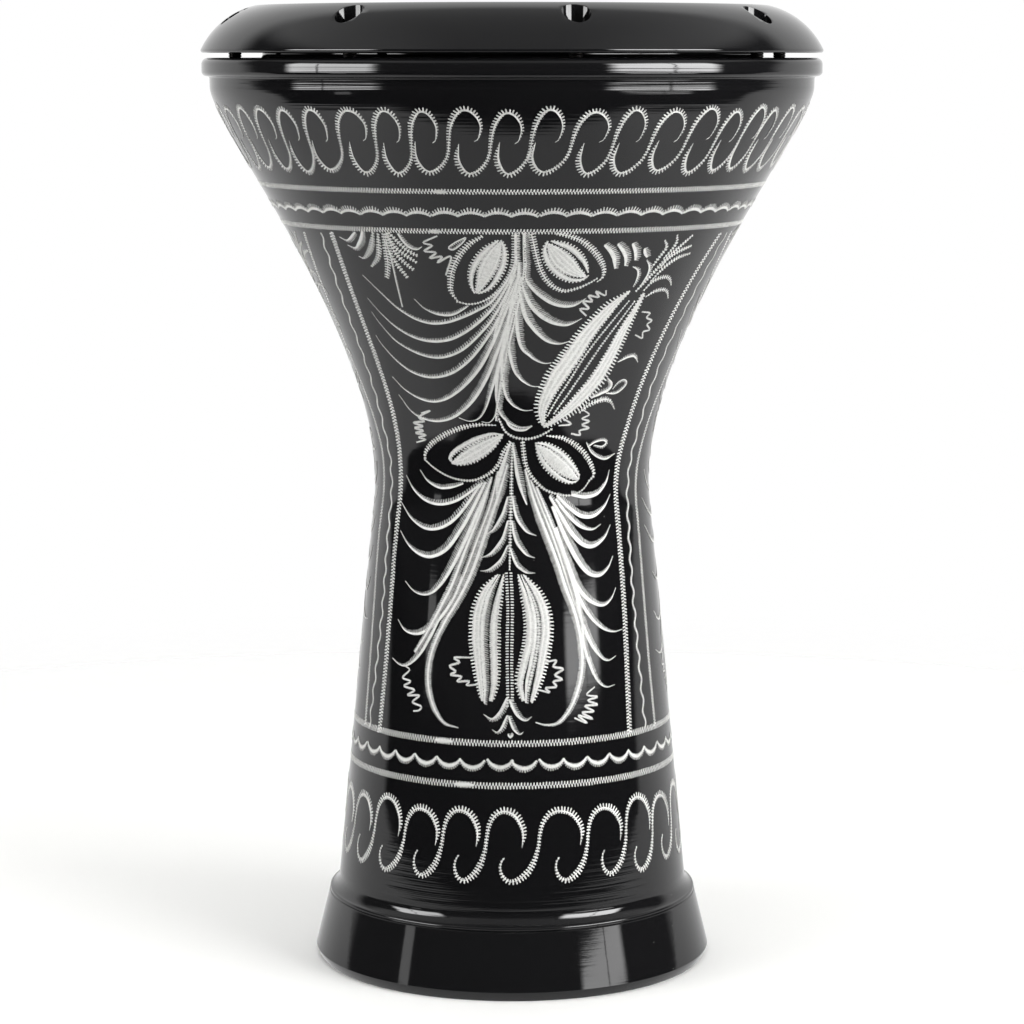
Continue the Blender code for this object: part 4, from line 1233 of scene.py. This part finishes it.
     "495.4,425.2 476.4,424.8 457.8,429 441.2,436.6 431,444.4 425.4,452.7 425.4,459.4"),
    ("fine", "0.8 0.9 1.0 1.2 1.6 2.0 2.0",
     "425,459.4 433.4,467.2 445.4,474.8 457.5,479.2 471.3,480.6 483.3,477 493.2,470.6 499.8,462 "
     "503.2,452.7 510.5,442.4"),
    ("bud", "0.8 4.8 7.0 7.4 5.4 1.2", "502.5,435 493,441.8 482,448.8 470.5,455.4 460.5,460.4 452.5,463"),
    ("band", "0.5 1.6 2.0 2.0 1.5 0.5",
     "455.5,464 449.8,458.6 454,451.6 463.5,445.4 478,438.2 492,434 502.6,434.6"),
    ("arc", "0.7 2.0 2.5 2.6 2.2 1.0",
     "547,435.8 562.5,438 575.6,445 585.4,455 591.8,466.7 593.6,475 589,480.5"),
    ("fine", "0.7 0.9 1.1 1.3 1.7 2.1 2.0",
     "589,480.8 581.5,490.4 569.4,495.4 555.6,493.6 544,489 534,479.6 527.4,469.6 524.2,458 522.5,441"),
    ("bud", "1 4.8 6.4 6.6 4.8 1.2", "537.5,445.5 545.6,452.6 554.4,460.6 563,468 571,474.4 577.4,479.4"),
    ("bandLeft", "0.5 1.6 2.0 2.0 1.5 0.5",
     "536,443 546,444.6 560.4,453 571.6,465 578.4,475.2 577.4,480.4"),
    ("band", "0.5 1.5 1.9 1.9 1.4 0.5",
     "535.6,443.4 540.4,457 548.8,468.8 560.6,478.4 570.6,482.2 577,481"),
    ("part", "0", "0,0"),
    # lower stem, its petals and leaf pairs
    ("leaf", "1.2 2.2 3.4 4.4 4.6 3.4 0.8",
     "511.4,443 508,457 505.6,468 503.4,479 501.4,489 499.4,498 498,504.6"),
    ("leaf", "1.0 1.7 2.6 3.2 2.8 1.8 0.5",
     "513.6,443 517,460 519.4,472 521.6,483 523.6,492 525.4,499 527,504.6"),
    ("fine", "1.0 1.2 1.5 1.8 1.8 1.6 1.2 0.8",
     "512.4,446 511.6,470 511.4,490 510.8,510 510.4,530 510,550 509.6,569.6"),
    ("leaf", "1.4 2.1 2.4 1.8 0", "509,497 504.4,515 495.8,528.6 491,532.2 486.2,534.6"),
    ("leaf", "1.4 2.1 2.4 1.8 0", "509,521 504.4,539 494.6,552 488,556 481.2,557.6"),
    ("leaf", "1.2 1.8 2.1 1.7 0", "508.6,546 502.4,560.4 493,569 487,571.2 480.4,571"),
    ("leaf", "1.4 2.1 2.4 1.8 0", "513.6,496 517.8,515 525.6,528.6 530.6,533 536.2,535.4"),
    ("leaf", "1.4 2.1 2.4 1.8 0", "513,521 517.4,539 525.6,552 530,555.8 534.6,557.6"),
    ("leaf", "1.2 1.9 2.1 1.6 0", "511.6,549 517.4,563 525.4,570.6 529.6,572.4 534.6,572.8"),
    # sweeping stems, left
    ("stem", "1.6 3.6 4.6 5.0 5.2 5.0 4.6 4.2 4.0 4.0 3.8 2.6 0.6",
     "507.4,464.8 498.8,494 487.4,527.6 473.4,568.6 459.6,598 446.4,619.6 436.4,640 430.4,658.4 "
     "428.2,675 429.4,692 434.8,709.4 444.2,722.8 457.8,727.6"),
    ("stem", "1.4 3.2 4.0 4.4 4.4 4.2 3.4 2.0",
     "491.6,477.4 481.4,510 466.4,547.6 452.8,583.6 444.4,600.6 434,620 424,638 415,652"),
    ("stem", "1.6 3.0 3.4 3.2 2.4 1.2", "498,472 490.4,505 477,541 463,578 453,600 446,612"),
    ("leaf", "0 1.0 1.9 2.0 1.2", "420.5,470 428.2,480.2 440.3,486.2 452.3,485.4 463,482.6"),
    ("leafToothed", "0 1.1 2.1 2.5 2.6 2.4 1.8",
     "406.7,475.4 414.4,489 426.5,499 440.3,502.4 455.4,499 469.3,490.6 479.4,482.8"),
    ("leafToothed", "0 1.3 2.4 2.9 3.0 2.8 2.0",
     "402.4,503 411,516.4 423,525.4 435,527 448.6,521.4 460.8,509.4 473,492.3 481,482"),
    ("leaf", "0 1.6 2.9 3.3 3.3 3.0 2.2",
     "400.7,530.4 409.3,544 421.3,552.8 433.4,553.6 446.6,545.4 460.8,525 473,502.7 484,481"),
    ("leaf", "0 1.6 2.9 3.4 3.4 3.0 2.2",
     "405.8,581.2 414.4,590.4 424.6,593.2 434.8,588.4 446.8,571.5 460.6,544 476,509.5 489,480"),
    ("leaf", "0 1.5 2.8 3.2 3.2 2.8 2.0",
     "398.3,619.4 405,629 415.4,632 426.6,627.4 440,614.4 451.6,597 461,576"),
    ("leaf", "0 1.2 2.3 2.7 2.9 2.4", "392.5,657.7 400,663.8 407.8,663.4 419,652.4 428.6,635.5 437.6,618"),
    # sweeping stems, right
    ("stem", "1.6 3.8 5.0 5.4 5.6 5.4 5.2 5.0 4.8 4.4 4.0 3.2 2.0 0.6",
     "525.4,470 534,501 544.4,529 556.4,560 565.4,588 573,608 579,629.7 581.9,652.7 581.6,671.8 "
     "577.4,691 569.8,709.4 558.4,722.8 546,725 535.6,722.4"),
    ("stem", "1.6 3.2 3.8 4.2 4.2 3.6 2.4",
     "536.4,487 547.4,514 558,541 568.4,570.5 575,592 580.4,614 583.4,634"),
    ("stem", "1.4 2.6 3.0 3.0 2.2 1.0", "531,481 541.4,508 552,535 562.4,565.5 570,590 575,606"),
    ("leafLeft", "0 1.4 2.5 2.8 2.2", "609,470 605.4,481.6 597,491.6 585.4,495 572.4,493.4"),
    ("leafLeft", "0 1.5 2.8 3.1 3.0 2.2",
     "609.9,494.2 604,505.4 593.5,513.8 581.8,514 569.6,505.6 557.6,494.4"),
    ("leafLeft", "0 1.2 2.4 2.8 2.6 2.0", "600.4,524.2 591.8,528.8 580.2,524.4 568,512.6 556.6,498"),
    ("leafLeft", "0 1.7 3.2 3.6 3.5 3.0 2.2",
     "609.9,525 604,536.4 593.5,543.9 583.4,542 573,531.2 562.5,514.7 551,495.6"),
    ("leafLeft", "0 1.7 3.2 3.8 3.7 3.2 2.4",
     "612.5,556.2 607.3,567.4 598.7,574 588.6,570.7 578.2,557 567.7,537 553.6,505.5"),
    ("leafLeft", "0 1.6 3.1 3.6 3.6 3.2 2.4",
     "615.4,588 610.4,598.6 602,604 590,598.4 578.4,584 568.6,560 557,527"),
    ("leafLeft", "0 1.3 2.5 2.9 2.9 2.4", "622,629 613.6,631 603,627 591.8,615.8 582.4,600.5 573.5,578"),
    ("leafLeft", "0 1.4 2.7 3.1 2.9 2.4", "615.4,655.8 608.3,659.8 601,655.7 591.7,641 584,622 577,601"),
    ("leafLeft", "0 1.2 2.3 2.6 2.6 2.2", "614.4,684.5 606.4,686.4 599,680.8 591.8,666 586,647 583,627"),
    # tulip at the foot of the panel
    ("band", "0.6 2.8 3.8 4.2 4.0 3.4 2.6 1.2",
     "497.5,575 486,590 478.4,610 476.4,633 477.6,656 480,679 482.4,700"),
    ("leaf", "0.6 2.4 3.2 3.2 3.0 2.6 1.4", "500,575 491.6,594 486,618 485,642 486,666 487,686 485.6,703"),
    ("bandLeft", "0.6 2.4 3.2 3.4 3.2 2.8 1.6",
     "503.6,575 499,594 494.4,618 493.6,642 494.2,666 494,684 490.8,701"),
    ("fine", "0.8 1.4 1.6 1.6 1.2", "492,583 484.6,604 481,632 482,662 484.4,694"),
    ("bandLeft", "0.6 2.8 3.8 4.2 4.2 3.6 2.8 1.4",
     "523.6,575 536,592 543.6,610 545.8,630 543,652 538.4,677 531.4,702"),
    ("leaf", "0.6 2.4 3.2 3.2 3.0 2.6 1.4",
     "521.4,575 531,594 537,616 537.4,640 533.4,662 528.6,684 527,703"),
    ("band", "0.6 2.4 3.2 3.4 3.2 2.8 1.6",
     "518.4,575 524.4,594 529.4,616 529.6,640 524.6,662 520,683 523.4,700"),
    ("fine", "0.8 1.4 1.6 1.6 1.2", "526,584 535,604 539,630 535.4,658 527.4,692"),
    ("ladder", "1.5 1.5 1.27", "508.6,573 509.8,600 510,618 509.4,656.5 510,694.8 509.6,706"),
    ("leaf", "2.0 2.4 2.4 1.6 0", "508.6,699 502.6,712 496.4,718.6 491,720 484,714.6"),
    ("leaf", "2.0 2.4 2.4 1.6 0", "511,699 517.2,711.6 522.4,717.8 526.8,719.4 531.6,716.6"),
    ("leaf", "1.4 2.0 2.0 1.2 0", "508.6,716 503.8,727.6 500,731.8 496.6,733 492.6,730"),
    ("leaf", "1.4 2.0 2.0 1.2 0", "510,716 514.6,727.8 517.8,732.4 520.4,734 523,732"),
    ("leaf", "0.8 2.2 1.2", "508.4,734 510.4,735.4 512.2,734"),
    # sprigs round the tulip
    ("sprig", "0.8 1.3 1.3 1.3 1.3 1.0",
     "404,665 409.7,669.9 403,677.4 410.7,681.4 404.4,686 414.5,690 408,695 419.3,695.6 412.8,702 "
     "421.2,706.4 419,710.4 413.6,711"),
    ("sprig", "0.9 1.4 1.4 1.3 1.3 1.0",
     "472.9,657.5 454.7,657.7 459.5,662.3 449.9,666 455.7,671.4 450.9,674.7 461.4,676.6 457.6,681.4 "
     "469,681.2 467,685.2 478.6,684.3"),
    ("sprig", "0.9 1.4 1.4 1.3 1.3 1.0",
     "544.6,662.3 556,660.4 553.4,666.6 562.8,669 555,675 561.8,679.3 553.4,681.6 556,686.8 545.8,688 "
     "549.4,692.4 538.9,690"),
    ("sprig", "0.8 1.3 1.3 1.3 1.3 1.0",
     "594.4,687 586.7,694.7 597.2,696.7 587.9,700.5 597.2,704.6 585,706 593.4,711.4 582.2,712.6 "
     "592.4,718.8 578.4,715.6 586.7,722.8 574.3,718"),
]

# how each kind is cut, how much broader than drawn, and how long the nicks on left and right are; tone, side
# and tip are the painted shade of its spine, comb and nick ends
strokes = {
    "arc": dict(pitch=1.4, core=0.1, duty=0.5, slant=0.25, tone=0.9, side=0.95, tip=0.8),
    "fine": dict(pitch=1.35, core=0.15, duty=0.5, slant=0.05, tone=0.9, side=0.95, tip=0.75, lift=0.03),
    "leaf": dict(pitch=1.0, core=0.3, shift=-1.0, edges=(1.0, 0.0), duty=0.66, slant=0.35, tone=0.95,
                 side=0.8, tip=0.25),
    "leafLeft": dict(pitch=1.0, core=0.42, shift=1.0, edges=(0.0, 1.0), duty=0.7, slant=0.35, tone=1.0,
                     side=0.85, tip=0.4),
    "leafToothed": dict(pitch=1.3, core=0.3, shift=-0.9, edges=(1.0, 0.0), duty=0.6, slant=0.35, tone=0.92,
                        side=0.8, tip=0.3),
    "stem": dict(pitch=0.95, core=0.26, duty=0.8, slant=0.35, tone=1.0, side=0.72, tip=0.35),
    "sprig": dict(pitch=0.7, core=0.6, duty=0.8, slant=0.2, tone=0.8, side=0.6, tip=0.4),
}
strokes["leafBroad"] = strokes["leaf"]
broader = {"leaf": 1.25, "leafBroad": 1.6, "leafToothed": 1.2, "leafLeft": 1.15, "arc": 1.15, "fine": 1.15}
teeth = {"band": (0.0, 1.8), "bandLeft": (1.8, 0.0), "bud": (0.5, 0.5), "lobe": (0.6, 2.2),
         "lobeLeft": (2.2, 0.6)}
third = 2 * math.pi / 3  # three panels round the drum: the next one's leaf tips show beside the front one


def makePanels(metal):
    cuts = Cuts(21)
    turns = (0.0, third, -third)
    for kind, sizes, drawing in panel:
        if kind == "part":
            cuts.piece("panel_plume", metal, turns)
            cuts = Cuts(22)
            continue
        path = fromFrontView(drawing)
        sizes = [float(n) for n in sizes.split()]
        if kind == "ladder":
            cuts.ladder(path, *sizes)
        elif kind == "islands":
            cuts.islands(path)
        elif kind in teeth:
            cuts.bundle(path, sizes, teeth[kind])
        else:
            cuts.stroke(path, [broader.get(kind, 1.0) * w for w in sizes], **strokes[kind])
    cuts.piece("panel_tulip", metal, turns)


# a border between two panels: a heavy rope, a wavy line and a finer rope, drawn at the left and right of
# the front panel; the ropes are (left, right, pitch), and turned says which drawing is used and where
borders = {
    "heavyRope": (2.1, 2.1, 1.45), "fineRope": (1.5, 1.5, 1.4),
    "waves": 23.5, "waveHeight": 0.8, "waveWidths": (1.5, 1.9, 1.7, 2.0, 1.7, 2.0, 1.7, 1.9, 1.5),
    "turned": ((0, 0.0), (1, 0.0), (1, third)),
    "lines": (
        ("331,232 355,300 374,352 394.4,419 400.6,464 396,535 391,599 385.5,668 379.6,730",
         "321,233 343,300 362,352 382,419 391,464 388,535 383.4,599 377,662 369.5,727",
         "304,232 327,297 349,352 374.5,419 383.4,461 379,535 374.4,599 370,662 365.5,722"),
        ("720.6,233 693,277 667.6,324.4 648.4,366.5 629.4,419 616.7,471 619,535 623.7,599 627,668 629.5,731",
         "726.5,233 702,277 680,320 659,366 641,419 628.8,470 629,535 633.3,599 639,662 645,727",
         "731,232 711,275 690,320 668,370 649,419 636.5,471 639,535 644,599 649,662 654.7,723"),
    ),
}


def makeBorders(metal):
    for number, (side, turn) in enumerate(borders["turned"], start=1):
        cuts = Cuts(30 + number)
        heavy, wavy, fine = [fromFrontView(drawing) for drawing in borders["lines"][side]]
        for path, sizes in ((heavy, borders["heavyRope"]), (fine, borders["fineRope"])):
            cuts.rope(path, *sizes, lean=0.3, duty=0.5, tone=1.0)
        spots, share = evenStations(smoothLine(wavy), 0.6)[::2]
        wave = borders["waveHeight"] * np.sin(share * 2 * math.pi * borders["waves"])
        spots[:, 0] += wave / radiusAt(spots[:, 1])
        cuts.stroke(spots, borders["waveWidths"], pitch=0.8, core=0.4, duty=0.75, tone=0.9, side=0.65,
                    tip=0.4, smooth=False)
        cuts.piece(f"panel_border_{number}", metal, turns=(turn,))


# Building

makeStudio()
lacquer = lacquerMaterial("gloss_black_stove_lacquer", peel=0.05, rings=0.5, dust=0.9)
ringLacquer = lacquerMaterial("gloss_black_ring_lacquer", peel=0.06, rings=0.05, dust=0.6)
brightCut = brightCutMaterial()
makeBody(lacquer, castInsideMaterial(), metalMaterial("turned_aluminium"))
makeRing(ringLacquer)
makeHead(filmMaterial(), metalMaterial("rolled_aluminium"))
makeScrews(metalMaterial("black_oxide_steel"), metalMaterial("zinc_plated_steel"))
makeScrollBand("scroll_band_upper", brightCut)
makeRopeBand("rope_and_scallops_upper", brightCut)
makeRopeBand("rope_and_scallops_lower", brightCut)
makeScrollBand("scroll_band_lower", brightCut)
makePanels(brightCut)
makeBorders(brightCut)
